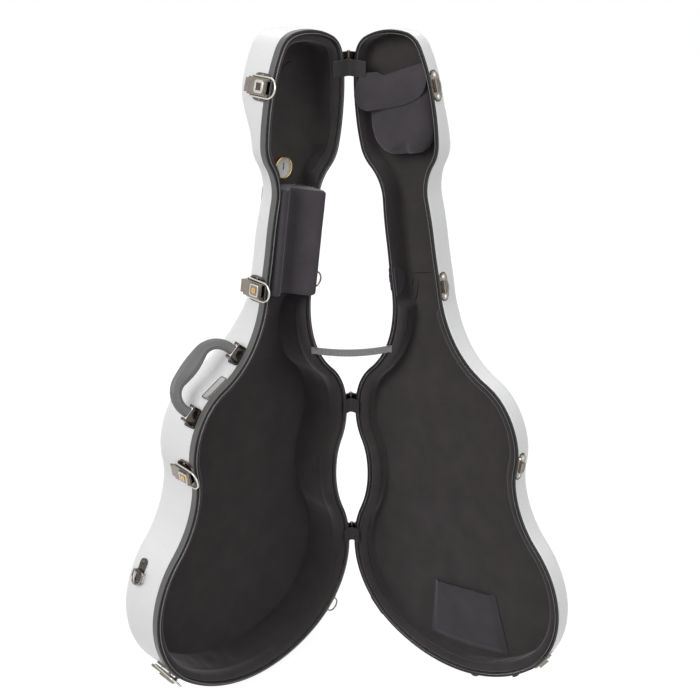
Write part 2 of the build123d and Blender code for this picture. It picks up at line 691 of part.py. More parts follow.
def ring_template(along_wall):
    """A ring's plate, its saddle and the ring itself, with the bar on x or on y."""
    bar = Plane.YZ if along_wall else Plane(origin=(0, 0, 0), x_dir=(-1, 0, 0), z_dir=(0, 1, 0))
    hub = ring_wire + running_clearance
    with BuildPart() as plate:
        with BuildSketch(Plane.XY.offset(-plate_root)):
            SlotOverall(ring_plate_length, ring_plate_width)
        extrude(amount=plate_root + ring_plate_sheet)
        with BuildSketch(bar):
            with Locations((0, ring_axis_height)):
                Circle(hub + saddle_wall)
            with Locations((0, (ring_axis_height + ring_plate_sheet) / 2)):
                Rectangle(2 * (hub + saddle_wall), ring_axis_height - ring_plate_sheet + plate_overlap)
        extrude(amount=saddle_length / 2, both=True)
        with BuildSketch(bar):
            with Locations((0, ring_axis_height)):
                Circle(hub)
        extrude(amount=ring_plate_length, both=True, mode=Mode.SUBTRACT)
        for at in (-ring_rivet_spread, ring_rivet_spread):
            with BuildSketch(Plane.YZ.offset(at)):
                with BuildLine():
                    edge_point = (rivet_radius, ring_plate_sheet)
                    top_point = (0, ring_plate_sheet + rivet_dome)
                    RadiusArc(edge_point, top_point, -dome_radius(rivet_radius, rivet_dome))
                    Polyline(top_point, (0, ring_plate_sheet), edge_point)
                make_face()
            revolve(axis=Axis((at, 0, 0), (0, 0, 1)))
    level = Plane(origin=(0, 0, ring_axis_height), x_dir=(1, 0, 0), z_dir=(0, 0, 1))
    with BuildPart() as ring:
        with BuildLine(level):
            left = FilletPolyline(
                (0, 0), (-ring_half, 0), (-ring_half, -ring_drop + ring_half), radius=ring_bend
            )
            ThreePointArc(
                (-ring_half, -ring_drop + ring_half), (0, -ring_drop), (ring_half, -ring_drop + ring_half)
            )
            FilletPolyline((ring_half, -ring_drop + ring_half), (ring_half, 0), (0, 0), radius=ring_bend)
        with BuildSketch(Plane(origin=left @ 0, z_dir=left % 0)):
            Circle(ring_wire)
        sweep(transition=Transition.ROUND)
    loop = ring.part if along_wall else ring.part.rotate(Axis.Z, -90)
    return plate.part, loop


hang_plate, hang_ring = ring_template(False)
frame = wall_plane(BODY, *hanging_ring_spot)
body_ring_plates = [frame.location * hang_plate - body_skin.part]
save(frame.location * hang_ring, "body_ring_1")
turns("body_ring_1", frame, (0, 0, ring_axis_height), (0, 1, 0))
side_plate, side_ring = ring_template(True)
ring_bar = Axis((0, 0, ring_axis_height), (1, 0, 0))
for number, (height, depth) in enumerate(body_ring_spots, start=2):
    frame = wall_plane(BODY, height, depth, side="hinge")
    body_ring_plates.append(frame.location * side_plate - body_skin.part)
    save(frame.location * side_ring.rotate(ring_bar, -90), f"body_ring_{number}")
    turns(f"body_ring_{number}", frame, (0, 0, ring_axis_height), (1, 0, 0))
save(Compound(children=body_ring_plates), "body_ring_plates")
lid_ring_plates = []
for number, (height, depth) in enumerate(lid_ring_spots, start=1):
    frame = wall_plane(LID, height, depth, side="hinge")
    lid_ring_plates.append(frame.location * side_plate - lid_skin.part)
    save(frame.location * side_ring.rotate(ring_bar, 180), f"lid_ring_{number}")
    turns(f"lid_ring_{number}", frame, (0, 0, ring_axis_height), (1, 0, 0))
save(Compound(children=lid_ring_plates), "lid_ring_plates")

# Hinges on the Z axis
hinge_height = 3 * knuckle_length + 2 * knuckle_gap
up = Vector(0, 0, 1)


def hinge_reach(level):
    """How far the hinge side's wall is from the axis at a level above the floor."""
    low, high = hinge_search
    for _ in range(halvings):
        middle = (low + high) / 2
        point = half_wire @ middle
        if point.Y * lean_cos - point.X * lean_sin + stand < level:
            low = middle
        else:
            high = middle
    point = half_wire @ middle
    return centre_offset - point.X * lean_cos - point.Y * lean_sin


def hinge_leaf(shell, level, skin, own, other):
    """A leaf on a shell's hinge side with its own knuckles, cleared round the other's."""
    out, turn = (body_out, -1) if shell is BODY else (lid_out, 1)
    frame = Plane(origin=(0, 0, level), x_dir=out, z_dir=up * turn)
    reach = hinge_reach(level)
    with BuildPart() as leaf:
        with BuildSketch(frame.offset(-hinge_height / 2)):
            with BuildLine():
                Polyline(
                    (0, leaf_front),
                    (reach + leaf_root, leaf_front),
                    (reach + leaf_root, leaf_depth),
                    (reach - leaf_sheet, leaf_depth),
                    (reach - leaf_sheet, knuckle_radius),
                    (0, knuckle_radius),
                    close=True,
                )
            make_face()
        extrude(amount=hinge_height)
        add(skin, mode=Mode.SUBTRACT)
        for middle in other:
            with BuildSketch(frame.offset(middle - knuckle_length / 2 - knuckle_gap)):
                Circle(knuckle_radius + knuckle_gap)
            extrude(amount=knuckle_length + 2 * knuckle_gap, mode=Mode.SUBTRACT)
        for middle in own:
            with BuildSketch(frame.offset(middle - knuckle_length / 2)):
                Circle(knuckle_radius)
            extrude(amount=knuckle_length)
        with BuildSketch(frame):
            Circle(hinge_pin_radius + running_clearance)
        extrude(amount=hinge_height, both=True, mode=Mode.SUBTRACT)
    return leaf.part


knuckle_step = knuckle_length + knuckle_gap
outer_knuckles = (-knuckle_step, knuckle_step)
body_leaves = [hinge_leaf(BODY, level, body_skin.part, (0.0,), outer_knuckles) for level in hinge_heights]
save(Compound(children=body_leaves), "body_hinge_leaves")
lid_leaves = [hinge_leaf(LID, level, lid_skin.part, outer_knuckles, (0.0,)) for level in hinge_heights]
save(Compound(children=lid_leaves), "lid_hinge_leaves")
with BuildPart() as hinge_pins:
    for level in hinge_heights:
        with BuildSketch(Plane.XY.offset(level)):
            Circle(hinge_pin_radius)
        extrude(amount=hinge_height / 2 + pin_head, both=True)
        for end in (-1, 1):
            with BuildSketch(Plane.XY.offset(level + end * (hinge_height / 2 + pin_lift))):
                Circle(pin_head_radius)
            extrude(amount=end * pin_head)
save(hinge_pins.part, "hinge_pins")

# Cloth flaps that cover the hinges inside, bent once in front of the axis
half_opening = (180 - body_turn - lid_turn) / 2
bisector = ground_ray(180 + body_turn + half_opening)


def flap_points(reach, stand_off):
    """The bent line of a hinge flap, this far in front of both rims."""
    corner = bisector * (stand_off / math.sin(math.radians(half_opening)))
    on_body = body_out * reach - body_rim.z_dir * stand_off
    on_lid = lid_out * reach + lid_rim.z_dir * stand_off
    return [(point.X, point.Y) for point in (on_body, corner, on_lid)]


for number, (level, reach) in enumerate(zip(hinge_heights, hinge_flap_reach), start=1):
    near = flap_points(reach, flap_stand_off)
    away = flap_points(reach, flap_stand_off + hinge_flap_sheet)
    with BuildPart() as hinge_flap:
        with BuildSketch(Plane.XY.offset(level - hinge_flap_height / 2)):
            with BuildLine():
                Polyline(*near, *reversed(away), close=True)
            make_face()
        extrude(amount=hinge_flap_height)
    save(hinge_flap.part, f"hinge_flap_{number}")

# Stay strap, hanging slack between tabs on the fronts of the two linings
strap_across = spot(strap_height)[0].X - strap_inset
strap_start = body_rim.from_local_coords(Vector(-strap_across, strap_height, strap_depth))
strap_end = lid_rim.from_local_coords(Vector(-strap_across, strap_height, -strap_depth))
strap_middle = (strap_start + strap_end) * 0.5 - up * strap_sag
with BuildPart() as stay_strap:
    with BuildLine() as strap_line:
        ThreePointArc(strap_start, strap_middle, strap_end)
    strap_way = strap_line.line % 0
    with BuildSketch(Plane(origin=strap_start, x_dir=up.cross(strap_way), z_dir=strap_way)):
        Rectangle(strap_sheet, strap_width)
    sweep()
    for shell in (BODY, LID):
        tab_back = lining_front - lip_gap
        with BuildSketch(facing(shell, -strap_across, strap_height, tab_back)):
            Rectangle(strap_tab, strap_width)
        extrude(amount=-shell[1] * strap_tab_sheet)
save(stay_strap.part, "stay_strap")

# Feet under the bottom edge, on both sides of each shell's lowest point


def bottom_point(across):
    """The height of the outline's bottom edge at this distance from the centre line."""
    low, high = bottom_search
    for _ in range(halvings):
        middle = (low + high) / 2
        if (half_wire @ middle).X < abs(across):
            low = middle
        else:
            high = middle
    return (half_wire @ middle).Y


def foot(shell, across, depth, skin):
    """A round foot that stands on the floor and seats on a shell."""
    rim, into = shell
    above = rim.from_local_coords(Vector(across, bottom_point(across), into * depth))
    with BuildPart() as post:
        with BuildSketch():
            with Locations((above.X, above.Y)):
                Circle(foot_radius)
        extrude(amount=foot_top)
        chamfer(post.faces().sort_by(Axis.Z)[0].edges(), length=foot_edge)
        add(skin, mode=Mode.SUBTRACT)
    return post.part.solids().sort_by(Axis.Z)[0]


lowest_across = -centre_drop()
body_feet = [foot(BODY, at, body_foot_depth, body_skin.part) for at in foot_places(lowest_across)]
for side, post in zip(("far", "near"), body_feet):
    sole = post.faces().sort_by(Axis.Z)[0].center()
    turns(f"{side}_foot", Plane.XY, (sole.X, sole.Y, 0), (0, 0, -1))
save(Compound(children=body_feet), "body_feet")
lid_feet = [foot(LID, at, lid_foot_depth, lid_form) for at in foot_places(lowest_across)]
save(Compound(children=lid_feet), "lid_feet")

with BuildPart() as bumper:
    with BuildSketch(Plane.XY.offset(-bumper_root)):
        Circle(bumper_radius)
    extrude(amount=bumper_root + bumper_proud)
    chamfer(bumper.faces().sort_by(Axis.Z)[-1].edges(), length=foot_edge)
save(wall_plane(LID, bumper_height, bumper_depth).location * bumper.part - lid_skin.part, "lid_bumper")

# Neck cradle: a saddle with a high side by the hinges and a flat strip by the latches
cradle_floor = body_neck_depth - back_skin - body_base_pad - pad_gap
cradle_plane = Plane(
    origin=body_rim.from_local_coords(Vector(0, cradle_low, 0)),
    x_dir=body_rim.x_dir,
    z_dir=body_rim.y_dir,
)
with BuildPart() as neck_cradle:
    with BuildSketch(cradle_plane):
        with BuildLine():
            high_edge = (-cradle_half + cradle_high_strip, cradle_high_rise)
            valley = (cradle_valley_across, -cradle_valley_depth)
            low_edge = (cradle_half - cradle_strip, cradle_low_rise)
            ThreePointArc(high_edge, cradle_slope, valley)
            ThreePointArc(valley, cradle_dip, low_edge)
            Polyline(
                low_edge,
                (cradle_half, cradle_low_rise),
                (cradle_half, -cradle_floor),
                (-cradle_half, -cradle_floor),
                (-cradle_half, cradle_high_rise),
                high_edge,
            )
        make_face()
    extrude(amount=cradle_high - cradle_low)
    long_edges = neck_cradle.edges().filter_by(GeomType.LINE).filter_by(
        lambda edge: abs((edge % 0.5).dot(body_rim.y_dir)) > parallel
        and body_rim.to_local_coords(edge.center()).Z < 0
    )
    fillet(long_edges, radius=cradle_edge)
    seat = shell_form(
        BODY,
        pad_inset + neck_panel + pad_gap,
        -2 * cradle_high_rise,
        back_skin + body_base_pad + pad_gap,
        body_edge_radius - shell_wall - neck_round_drop,
    )
    add(seat, mode=Mode.INTERSECT)
save(neck_cradle.part, "neck_cradle")

# Hygrometer on the body's back above the cradle
gauge_back = body_neck_depth - back_step - back_skin - body_base_pad
gauge_face = facing(BODY, gauge_across, gauge_height, gauge_back - gauge_thickness)
recess_floor = gauge_face.offset(gauge_recess)
with BuildPart() as gauge_case:
    with BuildSketch(gauge_face):
        Circle(gauge_radius)
    extrude(amount=gauge_thickness)
    with BuildSketch(gauge_face):
        Circle(gauge_radius - gauge_rim)
    extrude(amount=gauge_recess, mode=Mode.SUBTRACT)
save(gauge_case.part, "gauge_case")
with BuildPart() as gauge_dial:
    with BuildSketch(recess_floor):
        Circle(gauge_radius - gauge_rim)
    extrude(amount=-dial_sheet)
save(gauge_dial.part, "gauge_dial")
with BuildPart() as gauge_needle:
    with BuildSketch(recess_floor.offset(-dial_sheet - needle_lift)):
        with BuildLine():
            Polyline(
                (-needle_width, -needle_tail),
                (needle_width, -needle_tail),
                (needle_width / 2, needle_length),
                (-needle_width / 2, needle_length),
                close=True,
            )
        make_face()
        Circle(needle_width + needle_sheet)
    extrude(amount=-needle_sheet)
save(gauge_needle.part, "gauge_needle")
turns("gauge_needle", recess_floor, (0, 0, -dial_sheet), (0, 0, 1))
with BuildPart() as gauge_glass:
    with BuildSketch(gauge_face):
        Circle(gauge_radius - gauge_rim)
    extrude(amount=glass_sheet)
save(gauge_glass.part, "gauge_glass")

# Pouch in the lid's head, with its flap
pouch_back = lid_head_depth - back_skin - lid_base_pad - pad_gap
room = outline(pad_inset + lid_pad + pouch_side_gap)
with BuildPart() as head_pouch:
    with BuildSketch(lid_rim.offset(-pouch_back)):
        with Locations((0, (pouch_low + pouch_top) / 2)):
            sheet = Rectangle(2 * pouch_half, pouch_top - pouch_low)
        fillet(sheet.vertices().group_by(Axis.Y)[0], radius=pouch_corner)
        fillet(sheet.vertices().group_by(Axis.Y)[-1], radius=pouch_top_corner)
        add(room, mode=Mode.INTERSECT)
    extrude(amount=pouch_thickness)
    fillet(head_pouch.faces().sort_by(lambda face: -lid_rim.to_local_coords(face.center()).Z)[0].edges(),
           radius=pouch_crown)
save(head_pouch.part, "head_pouch")
flap_back = pouch_back - pouch_thickness - pad_gap
with BuildPart() as pouch_flap:
    with BuildSketch(lid_rim.offset(-flap_back)):
        with Locations((0, (flap_low + flap_top) / 2)):
            sheet = Rectangle(2 * flap_half, flap_top - flap_low)
        fillet(sheet.vertices().group_by(Axis.Y)[0], radius=flap_corner)
        add(room, mode=Mode.INTERSECT)
    extrude(amount=flap_sheet)
save(pouch_flap.part, "pouch_flap")
turns("pouch_flap", lid_rim, (0, flap_top, -flap_back + flap_sheet / 2), (1, 0, 0))

# Document pocket on the lid's back, open at its top
pocket_back = lid_depth - back_skin - lid_base_pad - pad_gap
pocket_thickness = pocket_room + 2 * pocket_sheet
with BuildPart() as document_pocket:
    corners = [
        (pocket_across - pocket_high_half, pocket_high),
        (pocket_across - pocket_low_half, pocket_low),
        (pocket_across + pocket_low_half, pocket_low),
        (pocket_across + pocket_high_half, pocket_high),
    ]
    with BuildSketch(lid_rim.offset(-pocket_back)):
        with BuildLine():
            FilletPolyline(*corners, radius=pocket_corner)
            Line(corners[0], corners[-1])
        make_face()
    extrude(amount=pocket_thickness)
    with BuildSketch(lid_rim.offset(-pocket_back + pocket_sheet)):
        with BuildLine():
            hem = pocket_sheet + pad_gap
            Polyline(
                (corners[0][0] + hem, pocket_high + hem),
                (corners[1][0] + hem, pocket_low + hem),
                (corners[2][0] - hem, pocket_low + hem),
                (corners[3][0] - hem, pocket_high + hem),
                close=True,
            )
        make_face()
    extrude(amount=pocket_room, mode=Mode.SUBTRACT)
save(document_pocket.part, "document_pocket")

# Half-moon patch on the lid's neck wall, over the ring's rivets
panel_inset = pad_inset + neck_panel + lip_gap
with BuildPart() as half_moon_patch:
    add(shell_form(LID, panel_inset, moon_front, back_skin, 0.0))
    add(shell_form(LID, panel_inset + moon_sheet, 0.0, 0.0, 0.0), mode=Mode.SUBTRACT)
    with BuildSketch(wall_plane(LID, moon_height, moon_front, side="hinge", proud=-panel_inset * 2)):
        with BuildLine():
            ThreePointArc((-moon_radius, 0), (0, moon_bulge), (moon_radius, 0))
            Line((moon_radius, 0), (-moon_radius, 0))
        make_face()
    extrude(amount=2 * panel_inset, mode=Mode.INTERSECT)
save(half_moon_patch.part, "half_moon_patch")

# Every piece is moved so that the origin is under the middle of the whole, on the floor
boxes = [piece.bounding_box() for piece in pieces]
middle_x = (min(box.min.X for box in boxes) + max(box.max.X for box in boxes)) / 2
middle_y = (min(box.min.Y for box in boxes) + max(box.max.Y for box in boxes)) / 2
bottom_z = min(box.min.Z for box in boxes)
shift = Location((-middle_x, -middle_y, -bottom_z))
for piece in pieces:
    moved = piece.moved(shift)
    moved.label = piece.label
    export_step(moved, f"parts/{piece.label}.step")
print("joint lid_hinge", -middle_x, -middle_y, -bottom_z, 0, 0, 1)
for name, point, way in joints:
    print("joint", name, *(point + Vector(-middle_x, -middle_y, -bottom_z)), *way)
print("pieces", len(pieces))
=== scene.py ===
"""The looks of a hard case for a classical guitar, stood on its feet and opened like a book."""
import json
import logging
import math
from dataclasses import dataclass
from enum import Enum
from typing import Optional, Sequence

import bmesh
import bpy
import numpy as np
from mathutils import Matrix, Vector


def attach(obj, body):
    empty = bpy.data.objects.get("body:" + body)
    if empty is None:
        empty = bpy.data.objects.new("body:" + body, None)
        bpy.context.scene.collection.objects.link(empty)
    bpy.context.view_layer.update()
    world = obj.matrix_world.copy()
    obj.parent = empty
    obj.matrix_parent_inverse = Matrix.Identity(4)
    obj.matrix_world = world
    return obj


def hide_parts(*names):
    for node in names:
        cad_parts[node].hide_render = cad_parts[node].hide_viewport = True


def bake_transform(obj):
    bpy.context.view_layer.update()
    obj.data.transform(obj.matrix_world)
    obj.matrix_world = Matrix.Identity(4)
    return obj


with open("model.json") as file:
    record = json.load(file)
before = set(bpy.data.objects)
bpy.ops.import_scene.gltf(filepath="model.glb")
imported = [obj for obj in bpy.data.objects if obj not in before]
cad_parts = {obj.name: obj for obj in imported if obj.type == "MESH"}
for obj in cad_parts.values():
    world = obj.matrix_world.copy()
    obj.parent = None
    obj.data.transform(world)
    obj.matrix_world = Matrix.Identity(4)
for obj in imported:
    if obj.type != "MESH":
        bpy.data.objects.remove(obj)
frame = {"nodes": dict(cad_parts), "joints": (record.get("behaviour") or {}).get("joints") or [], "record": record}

Array = np.ndarray
Piece = bpy.types.Object
Tree, Node, Socket = bpy.types.NodeTree, bpy.types.Node, bpy.types.NodeSocket

MM = 0.001
NOISE_LOW, NOISE_HIGH = 0.3, 0.7
LEAST_ROUGHNESS = 0.02
BUMP_STRENGTH = 0.6
LEAST_SPREAD = 1e-9
FINE_COUNT = 2000
CORNER_POINTS = 12
LATCH_HEIGHTS = (988.0, 687.0, 408.0, 66.0)
log = logging.getLogger("guitar_case")
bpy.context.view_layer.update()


class Side(Enum):
    """The two sides of a shell, as the sign of its way across."""

    LATCH = 1.0
    HINGE = -1.0


def hinge_place() -> Array:
    """A point on the lid's hinge line, in metres."""
    return np.array(next(joint for joint in frame["joints"] if joint["name"] == "lid_close")["pos_m"])


def smooth(values: Array, low: float, high: float) -> Array:
    """A smooth step: 0 up to low, 1 from high on, and 3x^2 - 2x^3 between them."""
    part = np.clip((np.asarray(values, float) - low) / (high - low), 0.0, 1.0)
    return part * part * (3.0 - 2.0 * part)


def hump(values: Array, middle: float, half: float) -> Array:
    """A bell of height 1 at middle that falls as exp(-x^2) over half."""
    return np.exp(-(((np.asarray(values, float) - middle) / half) ** 2))


def unit(vector: Sequence[float]) -> Array:
    """The vector at length 1."""
    vector = np.asarray(vector, float)
    return vector / np.linalg.norm(vector)


def ring_piece(name: str, line: Array, outwards: Array, section: Array) -> Piece:
    """A section carried round a closed line that lies flat on a surface.

    Args:
        name: the piece's name.
        line: points of the closed line, in metres.
        outwards: the surface's way out.
        section: closed section, across the line and outwards, in metres.

    Returns:
        The new object.
    """
    across = np.cross(directions(line, ring=True), outwards)
    return tube_piece(name, line, across, np.broadcast_to(outwards, line.shape), section, closed_path=True)


def directions(line: Array, ring: bool = False) -> Array:
    """Unit vectors along a line, from the difference of each point's neighbours, wrapped on a ring."""
    along = np.roll(line, -1, axis=0) - np.roll(line, 1, axis=0) if ring else np.gradient(line, axis=0)
    return along / np.linalg.norm(along, axis=1, keepdims=True)


def arc(start: Array, heading: float, radius: float, turn: float, count: int) -> Array:
    """Points along an arc.

    Each point is a chord from the start: 2 r sin(half the turn so far), half that turn off the heading.

    Args:
        start: first point.
        heading: direction at the start, in radians.
        radius: the arc's radius.
        turn: signed angle that the heading turns through.
        count: number of points, both ends included.

    Returns:
        The points and the heading at each, as rows of x, y, heading.
    """
    half = np.linspace(0.0, turn / 2, count)
    reach = 2.0 * radius * np.sin(np.abs(half))
    chord = heading + half
    x, y = start[0] + reach * np.cos(chord), start[1] + reach * np.sin(chord)
    return np.stack([x, y, heading + 2 * half], axis=-1)


def rounded_line(corners: Sequence[tuple[float, float]], radius: float,
                 count: int = CORNER_POINTS) -> Array:
    """A line through corners, each rounded by an arc that touches both its runs.

    Args:
        corners: the corner points.
        radius: radius at every inner corner.
        count: points on each arc.

    Returns:
        The line's points as rows of x, y.
    """
    corners = [np.asarray(corner, float) for corner in corners]
    rows = [corners[0][None]]
    for before, here, after in zip(corners[:-2], corners[1:-1], corners[2:]):
        first, second = here - before, after - here
        heading = math.atan2(first[1], first[0])
        turn = (math.atan2(second[1], second[0]) - heading + math.pi) % (2 * math.pi) - math.pi
        start = here - unit(first) * radius * math.tan(abs(turn) / 2)
        rows.append(arc(start, heading, radius, turn, count)[:, :2])
    rows.append(corners[-1][None])
    return np.concatenate(rows)


def even_points(line: Array, count: int) -> Array:
    """Points evenly spaced along a line, found by its length so far."""
    steps = np.linalg.norm(np.diff(line, axis=0), axis=1)
    length = np.concatenate([[0.0], np.cumsum(steps)])
    wanted = np.linspace(0.0, length[-1], count)
    return np.stack([np.interp(wanted, length, line[:, k]) for k in range(line.shape[1])], axis=-1)


def sheet_grid(columns: int, rows: int, low: float = 0.0, high: float = 1.0) -> tuple[Array, Array]:
    """A sheet's two parameters on a grid: s across from low to high, and t down from 0 to 1."""
    return np.meshgrid(np.linspace(low, high, columns), np.linspace(0.0, 1.0, rows), indexing="xy")


def grid_faces(rows: int, columns: int, wrap_rows: bool, wrap_columns: bool) -> tuple[Array, Array]:
    """Quads of a grid whose points are numbered row by row.

    Args:
        rows: rows of points.
        columns: points in a row.
        wrap_rows: whether the last row joins the first.
        wrap_columns: whether each row closes on itself.

    Returns:
        Point numbers of each quad, and the unwrapped row and column of each of its corners.
    """
    row = np.arange(rows if wrap_rows else rows - 1)
    column = np.arange(columns if wrap_columns else columns - 1)
    r, c = np.meshgrid(row, column, indexing="ij")
    corners = np.stack([[r, c], [r + 1, c], [r + 1, c + 1], [r, c + 1]])
    flat = corners.reshape(4, 2, -1).transpose(2, 0, 1)
    numbers = (flat[..., 0] % rows) * columns + flat[..., 1] % columns
    return numbers, flat


def add_piece(name: str, points: Array, faces: Array,
              uv: Optional[Array] = None) -> Piece:
    """Put points and faces into a new mesh object at the origin.

    Args:
        name: the piece's name.
        points: rows of x, y, z in metres.
        faces: rows of point numbers.
        uv: one row of u, v for each corner of each face, in metres of cloth, or None.

    Returns:
        The object, smooth shaded and linked to the scene.
    """
    mesh = bpy.data.meshes.new(name)
    mesh.from_pydata(np.asarray(points).tolist(), [], np.asarray(faces).tolist())
    if uv is not None:
        layer = mesh.uv_layers.new(name="cloth")
        layer.data.foreach_set("uv", np.asarray(uv, np.float32).ravel())
    mesh.polygons.foreach_set("use_smooth", np.ones(len(mesh.polygons), bool))
    mesh.update()
    piece = bpy.data.objects.new(name, mesh)
    bpy.context.scene.collection.objects.link(piece)
    return piece


def close_seams(piece: Piece, gap: float = 2e-5) -> None:
    """Merge doubled points and point every face outwards.

    Args:
        piece: a mesh object whose surface closes on itself.
        gap: points nearer than this are one point, in metres.
    """
    shape = bmesh.new()
    shape.from_mesh(piece.data)
    bmesh.ops.remove_doubles(shape, verts=shape.verts, dist=gap)
    bmesh.ops.dissolve_degenerate(shape, edges=shape.edges, dist=gap / 2)
    bmesh.ops.recalc_face_normals(shape, faces=shape.faces)
    shape.to_mesh(piece.data)
    shape.free()


def grid_piece(name: str, grid: Array, wrap_rows: bool = False, wrap_columns: bool = False,
               closed: bool = True) -> Piece:
    """A piece from a grid of points, with a UV map in metres measured along its rows and columns.

    Args:
        name: the piece's name.
        grid: rows by columns by x, y, z, in metres.
        wrap_rows: whether the last row joins the first.
        wrap_columns: whether each row closes on itself.
        closed: whether doubled points are merged and the normals worked out.

    Returns:
        The new object.
    """
    rows, columns = grid.shape[:2]
    numbers, corners = grid_faces(rows, columns, wrap_rows, wrap_columns)
    down = np.linalg.norm(np.diff(np.concatenate([grid, grid[:1]]), axis=0), axis=-1).max(axis=1)
    middle = grid[rows // 2]
    along = np.linalg.norm(np.diff(np.concatenate([middle, middle[:1]]), axis=0), axis=-1)
    v = np.concatenate([[0.0], np.cumsum(down)])
    u = np.concatenate([[0.0], np.cumsum(along)])
    uv = np.stack([u[corners[..., 1]], v[corners[..., 0]]], axis=-1)
    piece = add_piece(name, grid.reshape(-1, 3), numbers, uv)
    if closed:
        close_seams(piece)
    return piece


def tube_piece(name: str, path: Array, side: Array, up: Array, section: Array,
               closed_path: bool = False) -> Piece:
    """A section carried along a path.

    Each point is path + side * section x + up * section y. The ends of an open path are closed by
    fans to their own middle point.

    Args:
        name: the piece's name.
        path: points of the path, in metres.
        side: one unit vector for each point.
        up: another unit vector for each point.
        section: closed section, either one for all points or one for each, as x, y in metres.
        closed_path: whether the path is a ring.

    Returns:
        The new object.
    """
    if section.ndim == 2:
        section = np.broadcast_to(section, (len(path), *section.shape))
    grid = path[:, None] + side[:, None] * section[..., :1] + up[:, None] * section[..., 1:]
    if not closed_path:
        ends = [np.broadcast_to(grid[k].mean(axis=0), grid[k].shape)[None] for k in (0, -1)]
        grid = np.concatenate([ends[0], grid, ends[1]])
    return grid_piece(name, grid, wrap_rows=closed_path, wrap_columns=True)


def oval(half_width: float, half_height: float, power: float = 2.0, count: int = 32) -> Array:
    """A closed superellipse: |x/a|^p + |y/b|^p = 1, as rows of x, y."""
    angle = np.linspace(0.0, 2 * math.pi, count, endpoint=False)
    cos, sin = np.cos(angle), np.sin(angle)
    x = half_width * np.sign(cos) * np.abs(cos) ** (2 / power)
    y = half_height * np.sign(sin) * np.abs(sin) ** (2 / power)
    return np.stack([x, y], axis=-1)


def many(name: str, places: Array, along: Array, across: Array,
         half: tuple[float, float, float], rings: int = 5, sides: int = 6) -> Piece:
    """One piece of many small grains, each an ellipsoid with a grid of a few dozen faces.

    A grain's point is its place + along * a cos(t) + across * b sin(t) cos(f) + away * c sin(t) sin(f).

    Args:
        name: the piece's name.
        places: the grains' middles, in metres.
        along: unit vectors of the long axes.
        across: unit vectors of the second axes.
        half: half length, half width and half height of a grain, in metres.
        rings: points from end to end of a grain.
        sides: points round a grain.

    Returns:
        The new object.
    """
    away = np.cross(along, across)
    t = np.linspace(0.0, math.pi, rings)[:, None]
    f = np.linspace(0.0, 2 * math.pi, sides, endpoint=False)[None]
    x = (half[0] * np.cos(t) + 0 * f)[None, ..., None]
    y = (half[1] * np.sin(t) * np.cos(f))[None, ..., None]
    z = (half[2] * np.sin(t) * np.sin(f))[None, ..., None]
    grains = (
        places[:, None, None] + along[:, None, None] * x + across[:, None, None] * y + away[:, None, None] * z
    )
    numbers, _ = grid_faces(rings, sides, False, True)
    faces = numbers[None] + (np.arange(len(places)) * rings * sides)[:, None, None]
    piece = add_piece(name, grains.reshape(-1, 3), faces.reshape(-1, 4))
    close_seams(piece, gap=1e-6)
    return piece


def set_inputs(node: Node, values: dict[str, object]) -> None:
    """Set a shader node's inputs by their names."""
    for name, value in values.items():
        node.inputs[name].default_value = value


